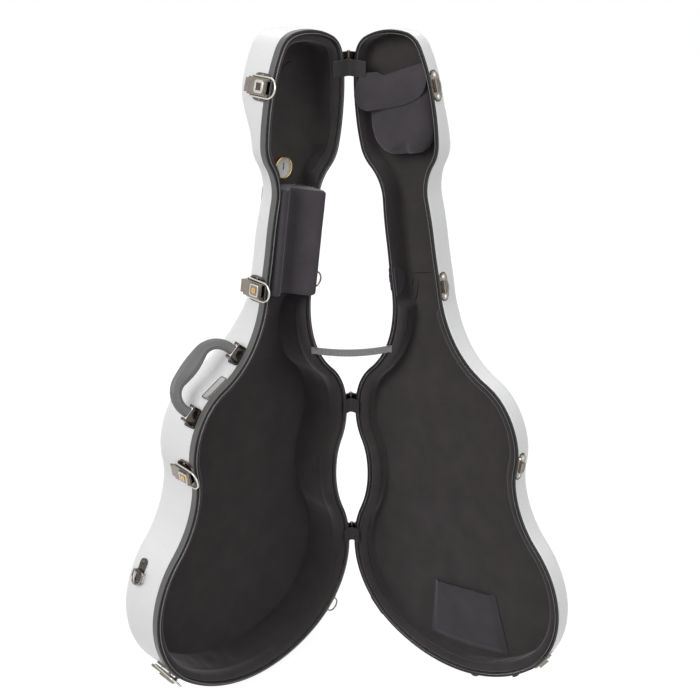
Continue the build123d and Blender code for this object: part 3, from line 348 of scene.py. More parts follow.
@dataclass(frozen=True)
class Finish:
    """What every finish has: its colour, gloss and the grain of its surface."""

    name: str
    colour: tuple[float, float, float]
    roughness: float
    metallic: float = 0.0
    grain: float = 0.0005
    relief: float = 0.00005
    shade: float = 0.08
    coat: float = 0.0
    sheen: float = 0.0
    coat_roughness: float = 0.15
    sheen_roughness: float = 0.45
    drift: float = 9.0
    gloss_spread: float = 0.06

    def build(self) -> bpy.types.Material:
        """Make the material.

        Returns:
            A node material with this finish.
        """
        material = bpy.data.materials.new(self.name)
        material.use_nodes = True
        tree = material.node_tree
        shader = tree.nodes["Principled BSDF"]
        set_inputs(shader, {
            "Metallic": self.metallic, "Coat Weight": self.coat, "Coat Roughness": self.coat_roughness,
            "Sheen Weight": self.sheen, "Sheen Roughness": self.sheen_roughness,
        })
        self.surface(tree, shader)
        return material

    def surface(self, tree: Tree, shader: Node) -> None:
        """Fine grain in the relief, and slow drifts of colour and gloss."""
        place = tree.nodes.new("ShaderNodeTexCoord").outputs["Object"]
        fine = self.noise(tree, place, 1.0 / self.grain, detail=4.0)
        slow = self.noise(tree, place, self.drift, detail=3.0)
        self.tint(tree, slow, shader, self.shade)
        self.gloss(tree, slow, shader, self.gloss_spread)
        self.raise_by(tree, fine, shader, self.relief)

    def noise(self, tree: Tree, place: Socket, scale: float,
              detail: float) -> Socket:
        """A noise on the given coordinates.

        Args:
            tree: the material's tree.
            place: the coordinates.
            scale: how many waves a metre holds.
            detail: octaves.

        Returns:
            The noise's value, from 0 to 1.
        """
        noise = tree.nodes.new("ShaderNodeTexNoise")
        set_inputs(noise, {"Scale": scale, "Detail": detail})
        tree.links.new(place, noise.inputs["Vector"])
        return noise.outputs["Fac"]

    def tint(self, tree: Tree, value: Socket, shader: Node,
             spread: float) -> None:
        """Mix a darker and a lighter tone of the colour by a value.

        Args:
            tree: the material's tree.
            value: what mixes them.
            shader: the shader that takes the colour.
            spread: share by which the two tones differ from the colour.
        """
        ramp = tree.nodes.new("ShaderNodeValToRGB")
        low, high = ramp.color_ramp.elements
        low.position, high.position = NOISE_LOW, NOISE_HIGH
        low.color = (*[channel * (1 - spread) for channel in self.colour], 1.0)
        high.color = (*[min(1.0, channel * (1 + spread)) for channel in self.colour], 1.0)
        tree.links.new(value, ramp.inputs["Fac"])
        tree.links.new(ramp.outputs["Color"], shader.inputs["Base Color"])

    def gloss(self, tree: Tree, value: Socket, shader: Node,
              spread: float) -> None:
        """Let the roughness drift with a value, by this much either way."""
        remap = tree.nodes.new("ShaderNodeMapRange")
        low, high = max(LEAST_ROUGHNESS, self.roughness - spread), min(1.0, self.roughness + spread)
        set_inputs(remap, {"From Min": NOISE_LOW, "From Max": NOISE_HIGH, "To Min": low, "To Max": high})
        tree.links.new(value, remap.inputs["Value"])
        tree.links.new(remap.outputs["Result"], shader.inputs["Roughness"])

    def raise_by(self, tree: Tree, value: Socket, shader: Node,
                 height: float, before: Optional[Node] = None) -> Node:
        """Use a value as relief of this height in metres, over an earlier bump if one is given."""
        bump = tree.nodes.new("ShaderNodeBump")
        set_inputs(bump, {"Strength": BUMP_STRENGTH, "Distance": height})
        tree.links.new(value, bump.inputs["Height"])
        if before is not None:
            tree.links.new(before.outputs["Normal"], bump.inputs["Normal"])
        tree.links.new(bump.outputs["Normal"], shader.inputs["Normal"])
        return bump


@dataclass(frozen=True)
class Velour(Finish):
    """Brushed pile: short fibres, with patches where the nap lies the other way."""

    patch: float = 0.035
    fibre: float = 0.0007
    clump: float = 0.35
    fibre_share: float = 0.45
    specular: float = 0.2
    sheen_tint: tuple[float, float, float, float] = (0.75, 0.72, 0.76, 1.0)

    def surface(self, tree: Tree, shader: Node) -> None:
        """Fibres and clumps in the relief, and patches of nap in the colour."""
        place = tree.nodes.new("ShaderNodeTexCoord").outputs["Object"]
        fibres = self.noise(tree, place, 1.0 / self.fibre, detail=3.0)
        clumps = self.noise(tree, place, self.clump / self.fibre, detail=2.0)
        patches = self.noise(tree, place, 1.0 / self.patch, detail=4.0)
        blend = tree.nodes.new("ShaderNodeMix")
        blend.inputs["Factor"].default_value = self.fibre_share
        tree.links.new(patches, blend.inputs["A"])
        tree.links.new(fibres, blend.inputs["B"])
        self.tint(tree, blend.outputs["Result"], shader, self.shade)
        set_inputs(shader, {
            "Roughness": self.roughness, "Specular IOR Level": self.specular, "Sheen Tint": self.sheen_tint,
        })
        under = self.raise_by(tree, clumps, shader, self.relief * 2)
        self.raise_by(tree, fibres, shader, self.relief, under)


@dataclass(frozen=True)
class Webbing(Finish):
    """Woven tape: warp and weft threads as two crossed waves on the piece's own UV map."""

    thread: float = 0.0011
    wander: float = 0.4
    wander_scale: float = 4.0

    def surface(self, tree: Tree, shader: Node) -> None:
        """Crossed threads in the relief and the colour."""
        place = tree.nodes.new("ShaderNodeTexCoord").outputs["UV"]
        threads = []
        for way in ("X", "Y"):
            wave = tree.nodes.new("ShaderNodeTexWave")
            wave.bands_direction = way
            scale = 1.0 / (self.thread * 2 * math.pi)
            set_inputs(wave, {"Scale": scale, "Distortion": self.wander, "Detail Scale": self.wander_scale})
            tree.links.new(place, wave.inputs["Vector"])
            threads.append(wave.outputs["Fac"])
        weave = tree.nodes.new("ShaderNodeMath")
        weave.operation = "MULTIPLY"
        tree.links.new(threads[0], weave.inputs[0])
        tree.links.new(threads[1], weave.inputs[1])
        self.tint(tree, weave.outputs["Value"], shader, self.shade)
        set_inputs(shader, {"Roughness": self.roughness})
        self.raise_by(tree, weave.outputs["Value"], shader, self.relief)


@dataclass(frozen=True)
class Lacquer(Finish):
    """Silver lacquer: fine flakes, a slight orange-peel skin and faint rub marks."""

    flake: float = 0.0006
    peel: float = 0.004
    cloud: float = 6.0
    cloud_share: float = 0.5
    rub: tuple[float, float, float] = (30.0, 30.0, 240.0)
    rub_spread: float = 0.05

    def surface(self, tree: Tree, shader: Node) -> None:
        """Flakes in the colour, orange peel in the relief, rub marks in the gloss."""
        place = tree.nodes.new("ShaderNodeTexCoord").outputs["Object"]
        flakes = tree.nodes.new("ShaderNodeTexVoronoi")
        flakes.inputs["Scale"].default_value = 1.0 / self.flake
        tree.links.new(place, flakes.inputs["Vector"])
        split = tree.nodes.new("ShaderNodeSeparateColor")
        tree.links.new(flakes.outputs["Color"], split.inputs["Color"])
        slow = self.noise(tree, place, self.cloud, detail=3.0)
        blend = tree.nodes.new("ShaderNodeMix")
        blend.inputs["Factor"].default_value = self.cloud_share
        tree.links.new(split.outputs["Red"], blend.inputs["A"])
        tree.links.new(slow, blend.inputs["B"])
        self.tint(tree, blend.outputs["Result"], shader, self.shade)
        turned = tree.nodes.new("ShaderNodeMapping")
        turned.inputs["Scale"].default_value = self.rub
        tree.links.new(place, turned.inputs["Vector"])
        rubs = self.noise(tree, turned.outputs["Vector"], 1.0, detail=5.0)
        self.gloss(tree, rubs, shader, self.rub_spread)
        skin = self.noise(tree, place, 1.0 / self.peel, detail=2.0)
        self.raise_by(tree, skin, shader, self.relief)


@dataclass(frozen=True)
class Plated(Finish):
    """Plated or polished metal with fine drawn scratches and dull patches."""

    draw: tuple[float, float, float] = (900.0, 900.0, 90.0)
    draw_turn: float = 45.0
    dulling: float = 140.0

    def surface(self, tree: Tree, shader: Node) -> None:
        """Scratches in the relief, patches in the gloss and the colour."""
        place = tree.nodes.new("ShaderNodeTexCoord").outputs["Object"]
        turned = tree.nodes.new("ShaderNodeMapping")
        set_inputs(turned, {"Rotation": (0.0, 0.0, math.radians(self.draw_turn)), "Scale": self.draw})
        tree.links.new(place, turned.inputs["Vector"])
        scratches = self.noise(tree, turned.outputs["Vector"], 1.0, detail=3.0)
        patches = self.noise(tree, place, self.dulling, detail=3.0)
        self.tint(tree, patches, shader, self.shade)
        self.gloss(tree, patches, shader, self.gloss_spread)
        self.raise_by(tree, scratches, shader, self.relief)


@dataclass(frozen=True)
class Clear(Finish):
    """Clear window with a faint haze."""

    cover: float = 0.12
    haze: float = 80.0
    haze_spread: float = 0.02

    def surface(self, tree: Tree, shader: Node) -> None:
        """Thin and nearly unseen, with a haze that drifts."""
        shader.inputs["Alpha"].default_value = self.cover
        place = tree.nodes.new("ShaderNodeTexCoord").outputs["Object"]
        haze = self.noise(tree, place, self.haze, detail=3.0)
        self.tint(tree, haze, shader, self.shade)
        self.gloss(tree, haze, shader, self.haze_spread)


class Palette:
    """Every finish of the case, by the record's slot name."""

    finishes: dict[str, Finish] = {
        "shell_silver": Lacquer(
            "silver_lacquer", (0.86, 0.862, 0.868), 0.34, 0.1, relief=0.00006, shade=0.05, coat=0.2,
        ),
        "band_grey": Finish("band_vinyl", (0.125, 0.122, 0.120), 0.4, relief=0.00006, shade=0.12),
        "gasket_black": Finish("gasket_rubber", (0.012, 0.012, 0.013), 0.5, relief=0.00004),
        "lip_grey": Plated("lip_aluminium", (0.20, 0.198, 0.198), 0.4, 0.7, relief=0.00002),
        "velour_black": Velour(
            "lining_velour", (0.060, 0.0525, 0.053), 0.95, relief=0.00022, shade=0.22, sheen=0.6,
        ),
        "velour_panel": Velour(
            "panel_velour", (0.074, 0.066, 0.0735), 0.93, relief=0.0002, shade=0.2, sheen=0.6,
        ),
        "webbing": Webbing(
            "strap_webbing", (0.37, 0.358, 0.36), 0.8, relief=0.0003, shade=0.35, sheen=0.15,
        ),
        "flap_webbing": Webbing(
            "flap_webbing", (0.052, 0.0485, 0.049), 0.85, relief=0.0003, shade=0.3, sheen=0.3,
        ),
        "nickel": Plated("smoked_nickel", (0.27, 0.245, 0.215), 0.16, 1.0, relief=0.00001, shade=0.12),
        # A lighter copy of the smoked nickel for the bails, lock frames, handle pins and catch screws: painted
        # highlight where they catch the light.
        "painted_highlight_nickel": Plated("painted_highlight_nickel", (0.62, 0.59, 0.55), 0.16, 1.0, relief=0.00001, shade=0.06),
        # A darker copy of the smoked nickel for the latch bases: painted shade under the levers.
        "painted_shade_nickel": Plated("painted_shade_nickel", (0.15, 0.133, 0.116), 0.22, 1.0, relief=0.00001, shade=0.2),
        "dark_nickel": Plated("dark_nickel", (0.10, 0.088, 0.08), 0.25, 1.0, relief=0.00001, shade=0.2),
        "brass_key": Plated("key_brass", (0.74, 0.46, 0.17), 0.25, 1.0, relief=0.00001, shade=0.1),
        "gauge_gold": Plated("bezel_gold", (0.80, 0.58, 0.20), 0.22, 1.0, relief=0.00001, shade=0.08),
        "dial_white": Finish(
            "dial_enamel", (0.82, 0.82, 0.80), 0.5, grain=0.0004, relief=0.00001, shade=0.02,
        ),
        "needle_black": Finish("needle_paint", (0.015, 0.015, 0.016), 0.4, grain=0.0003, relief=0.00001),
        "clear_glass": Clear("gauge_glass_clear", (0.98, 0.98, 0.98), 0.04, shade=0.01),
        "grip_black": Finish(
            "grip_moulding", (0.15, 0.147, 0.146), 0.34, grain=0.0009, relief=0.00007, shade=0.15, coat=0.15,
        ),
        "plate_silver": Plated("brushed_plate", (0.55, 0.54, 0.53), 0.4, 0.5, relief=0.00002, shade=0.08),
        "foot_rubber": Finish(
            "foot_rubber_grain", (0.02, 0.02, 0.021), 0.6, grain=0.0006, relief=0.0001, shade=0.15,
        ),
        # Near-black velour for the cords along the neck's folds: painted shade in the folds.
        "fold_shadow": Velour("painted_fold_shadow_velour", (0.018, 0.016, 0.016), 0.95, relief=0.0001, shade=0.2),
        "thread": Finish(
            "sewing_thread", (0.075, 0.070, 0.078), 0.75, grain=0.0004, relief=0.0001, shade=0.2, sheen=0.2,
        ),
    }

    def __init__(self) -> None:
        """Start with no material made."""
        self.made: dict[str, bpy.types.Material] = {}

    def material(self, slot: str) -> bpy.types.Material:
        """The material of a finish, made once."""
        if slot not in self.made:
            self.made[slot] = self.finishes[slot].build()
        return self.made[slot]

    def dress(self, piece: Piece, finish: str) -> None:
        """Give a piece its finish in place of what it had."""
        if piece.material_slots:
            for held in piece.material_slots:
                held.material = self.material(finish)
        else:
            piece.data.materials.append(self.material(finish))


palette = Palette()


def report(piece: Piece, body: str, slot: str, finish: str = "", stands_for: Sequence[str] = (),
           rides: bool = True) -> None:
    """Dress a new piece, set what it rides on and log it.

    Args:
        piece: the new piece.
        body: the CAD body it moves with.
        slot: the record's material slot.
        finish: the finish's name, where it isn't the slot's own.
        stands_for: CAD nodes that it replaces.
        rides: False where the piece is left on no body.
    """
    palette.dress(piece, finish or slot)
    if rides:
        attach(piece, body)
    if stands_for:
        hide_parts(*stands_for)
    log.info("%s: %d points on %s", piece.name, len(piece.data.vertices), body)


@dataclass(frozen=True)
class Outline:
    """The rim's outline: stations up one side, joined by pairs of arcs, and mirrored. Sizes in mm."""

    stations: tuple[tuple[float, float, float], ...] = (
        (0.0, 0.0, 0.0), (210.0, 176.0, 90.0), (151.5, 371.0, 90.0), (163.0, 440.0, 90.0),
        (115.0, 540.0, 145.4), (48.5, 676.0, 90.0), (46.5, 759.0, 90.0), (61.0, 874.0, 48.8),
        (76.5, 939.0, 90.0), (62.0, 1043.0, 108.9), (0.0, 1073.0, 180.0),
    )
    low_centre: float = 140.0
    high_centre: float = 1008.0
    arc_points: int = 40

    def half(self) -> Array:
        """The right half as rows of x, y and heading, bottom to top.

        Between two stations, the joint of the two arcs is where their tangents balance.
        """
        rows = []
        for (x0, y0, a0), (x1, y1, a1) in zip(self.stations[:-1], self.stations[1:]):
            start, end = np.array([x0, y0]), np.array([x1, y1])
            first, last = [np.array([math.cos(a), math.sin(a)]) for a in (math.radians(a0), math.radians(a1))]
            span, ways, spread = end - start, first + last, 2 * (1 - first @ last)
            if spread < LEAST_SPREAD:
                reach = span @ span / (4 * span @ last)
            else:
                reach = (math.sqrt((span @ ways) ** 2 + spread * span @ span) - span @ ways) / spread
            middle = (start + end + (first - last) * reach) / 2
            heading = math.radians(a0)
            for begin, finish in ((start, middle), (middle, end)):
                chord = finish - begin
                half_turn = (math.atan2(chord[1], chord[0]) - heading + math.pi) % (2 * math.pi) - math.pi
                radius = np.linalg.norm(chord) / (2 * abs(math.sin(half_turn)))
                rows.append(arc(begin, heading, radius, 2 * half_turn, self.arc_points)[:-1])
                heading += 2 * half_turn
        rows.append(np.array([[*self.stations[-1][:2], math.pi]]))
        return np.concatenate(rows)

    def loop(self, count: int) -> tuple[Array, Array]:
        """The closed outline, evenly spaced, from the bottom up the latch side and down the hinge side.

        Args:
            count: number of points, even.

        Returns:
            Points and outward normals as rows of x, y.
        """
        right = even_points(self.half(), count // 2 + 1)
        normal = np.stack([np.sin(right[:, 2]), -np.cos(right[:, 2])], axis=-1)
        flip = np.array([-1.0, 1.0])
        points = np.concatenate([right[:, :2], right[-2:0:-1, :2] * flip])
        normals = np.concatenate([normal, normal[-2:0:-1] * flip])
        return points, normals

    def side(self, heights: Array) -> tuple[Array, Array]:
        """The right half's distance from the middle and its heading at each height."""
        half = self.half()
        return tuple(np.interp(heights, half[:, 1], half[:, k]) for k in (0, 2))

    def inside(self, heights: Array, inset: Array, side: Side) -> Array:
        """Points this far inside the outline on one side, as x, y."""
        x, heading = self.side(heights)
        return np.stack([side.value * (x - inset * np.sin(heading)), heights + inset * np.cos(heading)], -1)

    def at(self, height: float) -> tuple[Array, Array]:
        """The right half's point and outward normal at a height."""
        x, heading = self.side(height)
        return np.array([x, height]), np.array([math.sin(heading), -math.cos(heading)])

    def centre(self, points: Array) -> Array:
        """The centre line's point that each rim point looks at: its own height, kept off both ends."""
        height = np.clip(points[..., 1], self.low_centre, self.high_centre)
        return np.stack([np.zeros_like(height), height], axis=-1)


@dataclass(frozen=True)
class Layer:
    """One skin of a bowl: how far inside the rim's outline and short of its back it lies. Sizes in mm."""

    inset: float
    shallower: float
    radius: float
    front: float
    thin_from: float = 0.0
    thin_to: float = 0.0
    thin_inset: float = 0.0
    thin_radius: float = 0.0
    head_radius: float = 0.0
    head_from: tuple[float, float] = (872.0, 925.0)
    ease: float = 14.0

    def insets(self, heights: Array) -> tuple[Array, Array]:
        """The skin's inset and edge radius at each height, with the neck's and the head's eased in."""
        radius = self.radius
        if self.head_radius:
            radius = radius + (self.head_radius - radius) * smooth(heights, *self.head_from)
        if self.thin_to <= self.thin_from:
            return np.full_like(heights, self.inset), radius * np.ones_like(heights)
        thin = smooth(heights, self.thin_from - self.ease, self.thin_from) * (
            1 - smooth(heights, self.thin_to, self.thin_to + self.ease)
        )
        return (
            self.inset + (self.thin_inset - self.inset) * thin,
            radius + (self.thin_radius - radius) * thin,
        )


@dataclass(frozen=True)
class Shell:
    """One half of the case: where it stands and how deep it is. Sizes in mm and degrees."""

    body: str
    turn: float
    into: float
    back: tuple[tuple[float, float], ...]
    edge_radius: float
    outline: Outline = Outline()
    bend: float = 70.0
    lean: float = 9.4
    hinge_gap: float = 5.2
    floor_gap: float = 5.2
    wall: float = 3.5
    rim_setback: float = 3.0

    def axes(self) -> tuple[Array, Array, Array, Array]:
        """Where the rim's origin is and its three ways.

        The outline leans with the case. Its hinge side comes to the hinge gap, and its foot to the floor gap.

        Returns:
            Origin in metres, across, up, and into the shell's depth.
        """
        points, _ = self.outline.loop(FINE_COUNT)
        cos, sin = math.cos(math.radians(self.lean)), math.sin(math.radians(self.lean))
        offset = self.hinge_gap + (points[:, 0] * cos + points[:, 1] * sin).max()
        stand = self.floor_gap - (points[:, 1] * cos - np.abs(points[:, 0]) * sin).min()
        out = np.array([math.cos(math.radians(self.turn)), math.sin(math.radians(self.turn)), 0.0])
        z = np.array([0.0, 0.0, 1.0])
        across = out * cos + z * sin
        facing = np.cross(out, z)
        hinge = hinge_place()
        hinge[2] = 0.0
        origin = hinge + (out * offset + z * stand) * MM
        return origin, across, np.cross(facing, across), facing * self.into

    def place(self, points: Array, depth: Array) -> Array:
        """Points given across, up and into the depth, in the case's own frame.

        Args:
            points: rows of x, y in mm.
            depth: depth behind the rim's plane in mm.

        Returns:
            Rows of x, y, z in metres.
        """
        origin, across, up, into = self.axes()
        depth = np.broadcast_to(depth, points.shape[:-1])
        return origin + (points[..., :1] * across + points[..., 1:] * up + depth[..., None] * into) * MM

    def depth(self, heights: Array) -> Array:
        """The back's depth at each height, along a line with rounded corners."""
        line = rounded_line(self.back, self.bend)[::-1]
        return np.interp(heights, line[:, 0], line[:, 1])

    def wall_frame(self, height: float, depth: float) -> "WallFrame":
        """The frame of a fitting on the outer wall's latch side.

        Args:
            height: place up the outline, in mm.
            depth: place behind the rim, in mm.

        Returns:
            A frame with x along the wall, y into the depth and z outwards.
        """
        point, normal = self.outline.at(height)
        _, across, up, into = self.axes()
        outwards = across * normal[0] + up * normal[1]
        origin = self.place(point[None], np.array([depth]))[0]
        return WallFrame(origin, np.cross(into, outwards), into, outwards)

    def skin(self, layer: Layer, count: int, base_rows: int, edge_rows: int,
             wall_rows: int) -> tuple[Array, Array]:
        """One skin of a bowl, from the centre line out to the rim.

        The base runs straight from the centre line to the edge, the edge is a quarter turn of the
        layer's radius, and the wall rises from it to the layer's front.

        Args:
            layer: the skin.
            count: points round the outline.
            base_rows: rows on the base.
            edge_rows: rows on the edge.
            wall_rows: rows on the wall.

        Returns:
            Points as rows by columns by x, y, and their depths, all in mm.
        """
        rim, normal = self.outline.loop(count)
        inset, radius = layer.insets(rim[:, 1])
        edge = rim - normal * (inset + radius)[:, None]
        centre = self.outline.centre(edge)
        share = np.linspace(0.0, 1.0, base_rows, endpoint=False)[:, None, None]
        base = centre + (edge - centre) * share
        turn = np.linspace(math.pi / 2, 0.0, edge_rows)[:, None]
        corner = rim - normal * (inset + radius * (1 - np.cos(turn)))[..., None]
        corner_depth = self.depth(corner[..., 1]) - layer.shallower - radius * (1 - np.sin(turn))
        foot = corner_depth[-1]
        rise = np.linspace(0.0, 1.0, wall_rows + 1)[1:, None]
        wall = np.broadcast_to(corner[-1], (wall_rows, *rim.shape))
        wall_depth = foot + (layer.front - foot) * rise
        points = np.concatenate([base, corner, wall])
        depths = np.concatenate([self.depth(base[..., 1]) - layer.shallower, corner_depth, wall_depth])
        return points, depths


@dataclass(frozen=True)
class WallFrame:
    """A fitting's frame on a wall: origin in metres, x along the wall, y into the depth, z outwards."""

    origin: Array
    x: Array
    y: Array
    z: Array

    def place(self, points: Array) -> Array:
        """Points in mm in this frame, as points in metres."""
        x, y, z = points[..., :1], points[..., 1:2], points[..., 2:]
        return self.origin + (x * self.x + y * self.y + z * self.z) * MM

    def rows(self, points: Array, lift: float) -> Array:
        """Points given as x, y in mm, at one height over the wall, as points in metres."""
        return self.place(np.concatenate([points, np.full((len(points), 1), lift)], axis=1))


BODY = Shell(
    body="body", turn=225.0, into=1.0, edge_radius=20.0,
    back=((1113.0, 77.0), (975.0, 77.0), (915.0, 44.0), (860.0, 44.0), (760.0, 50.0), (675.0, 50.0),
          (535.0, 98.0), (-40.0, 98.0)),
)
LID = Shell(
    body="lid", turn=-40.5, into=-1.0, edge_radius=15.0,
    back=((1113.0, 34.0), (960.0, 34.0), (850.0, 48.0), (640.0, 48.0), (540.0, 41.0), (-40.0, 41.0)),
)


@dataclass(frozen=True)
class CaseShell:
    """A hard shell and the trim on its rim. Sizes in mm."""

    shell: Shell
    around: int = 480
    gasket: tuple[float, ...] = (0.05, 3.2, 0.5, 3.0, 0.9)
    body_tongue: tuple[float, ...] = (3.6, 4.8, -2.0, 12.0, 0.4)
    lid_lip: tuple[float, ...] = (4.9, 5.9, 0.2, 9.0, 0.35)
    band_front: float = 0.5
    band_back: float = 12.0
    band_thick: float = 1.2
    band_rows: int = 40
    band_power: int = 10
    beads: tuple[float, ...] = (1.6, 10.9)
    bead_half: float = 0.6
    bead_share: float = 0.15

    def build(self) -> None:
        """Build the wall, and the rings on the rim."""
        shell = self.shell
        outer = Layer(0.0, 0.0, shell.edge_radius, shell.rim_setback)
        inner = Layer(shell.wall, shell.wall, shell.edge_radius - shell.wall, shell.rim_setback)
        points, depths = join_skins(shell, outer, inner, self.around, lip_rows=5, lip_height=0.4)
        name = f"{shell.body}_shell"
        piece = grid_piece(f"{name}_wall", shell.place(points, depths), wrap_columns=True)
        report(piece, shell.body, "shell_silver", stands_for=[name])
        gasket = rounded_bar(*self.gasket)
        if shell is BODY:
            self.ring("body_band_moulding", "band_grey", ["body_rim_band"], self.band_section())
            self.ring("body_seal", "gasket_black", ["body_gasket"], gasket)
            self.ring("body_tongue_strip", "lip_grey", ["body_tongue"], rounded_bar(*self.body_tongue))
        else:
            self.ring("lid_seal", "gasket_black", ["lid_gasket"], gasket)
            self.ring("lid_lip_strip", "lip_grey", ["lid_lip"], rounded_bar(*self.lid_lip))

    def band_section(self) -> Array:
        """The band's section: a strip with two beads and rounded edges, as inset and depth."""
        depth = np.linspace(self.band_front, self.band_back, self.band_rows)
        middle, half = (self.band_front + self.band_back) / 2, (self.band_back - self.band_front) / 2
        end = np.sqrt(np.clip(1 - (np.abs(depth - middle) / half) ** self.band_power, 0.0, 1.0))
        swell = 1 - self.bead_share
        for bead in self.beads:
            swell = swell + self.bead_share * hump(depth, bead, self.bead_half)
        outside = np.stack([-self.band_thick * end * swell, depth], axis=-1)
        inside = np.array([[0.0, self.band_back], [0.0, self.band_front]])
        return np.concatenate([outside, inside])

    def ring(self, name: str, slot: str, stands_for: Sequence[str], section: Array) -> None:
        """Carry a section of inset and depth round the rim.

        Args:
            name: the piece's name.
            slot: its material slot.
            stands_for: the CAD node it replaces.
            section: closed section as rows of inset, depth in mm.
        """
        rim, normal = self.shell.outline.loop(self.around)
        points = rim[:, None] - normal[:, None] * section[None, :, :1]
        depth = np.broadcast_to(section[:, 1], points.shape[:2])
        piece = grid_piece(name, self.shell.place(points, depth), wrap_rows=True, wrap_columns=True)
        report(piece, self.shell.body, slot, stands_for=stands_for)


def rounded_bar(inset: float, far_inset: float, front: float, back: float, radius: float,
                quarter: float = 90.0, corner_points: int = 5) -> Array:
    """A closed rectangle of inset and depth with rounded corners, as rows of inset, depth."""
    rows = []
    corners = ((far_inset, back), (inset, back), (inset, front), (far_inset, front))
    for number, (x, y) in enumerate(corners):
        centre = np.array([x + (radius if x == inset else -radius), y + (radius if y == front else -radius)])
        start = number * quarter
        angle = np.radians(np.linspace(start, start + quarter, corner_points))[:, None]
        rows.append(centre + radius * np.concatenate([np.cos(angle), np.sin(angle)], axis=1))
    return np.concatenate(rows)


def join_skins(shell: Shell, outer: Layer, inner: Layer, count: int, lip_rows: int, lip_height: float,
               base_rows: int = 10, edge_rows: int = 9, wall_rows: int = 10) -> tuple[Array, Array]:
    """A bowl with thickness: the outer skin, the lip as half an ellipse, and the inner skin back down.

    Args:
        shell: the half of the case.
        outer: the outer skin.
        inner: the inner skin.
        count: points round the outline.
        lip_rows: rows over the lip.
        lip_height: how far the lip rises over the front, in mm.
        base_rows: rows on each base.
        edge_rows: rows on each edge.
        wall_rows: rows on each wall.

    Returns:
        Points and depths in mm.
    """
    low = Layer(outer.inset, outer.shallower, outer.radius, outer.front + lip_height)
    high = Layer(inner.inset, inner.shallower, inner.radius, inner.front + lip_height, inner.thin_from,
                 inner.thin_to, inner.thin_inset, inner.thin_radius, inner.head_radius)
    outside, outside_depth = shell.skin(low, count, base_rows, edge_rows, wall_rows)
    inside, inside_depth = shell.skin(high, count, base_rows, edge_rows, wall_rows)
    rim, normal = shell.outline.loop(count)
    far_inset, _ = high.insets(rim[:, 1])
    angle = np.linspace(0.0, math.pi, lip_rows + 2)[1:-1, None]
    inset = (low.inset + far_inset) / 2 - np.cos(angle) * (far_inset - low.inset) / 2
    lip = rim - normal * inset[..., None]
    lip_depth = np.broadcast_to(low.front - lip_height * np.sin(angle), lip.shape[:-1])
    points = np.concatenate([outside, lip, inside[::-1]])
    depths = np.concatenate([outside_depth, lip_depth, inside_depth[::-1]])
    return points, depths


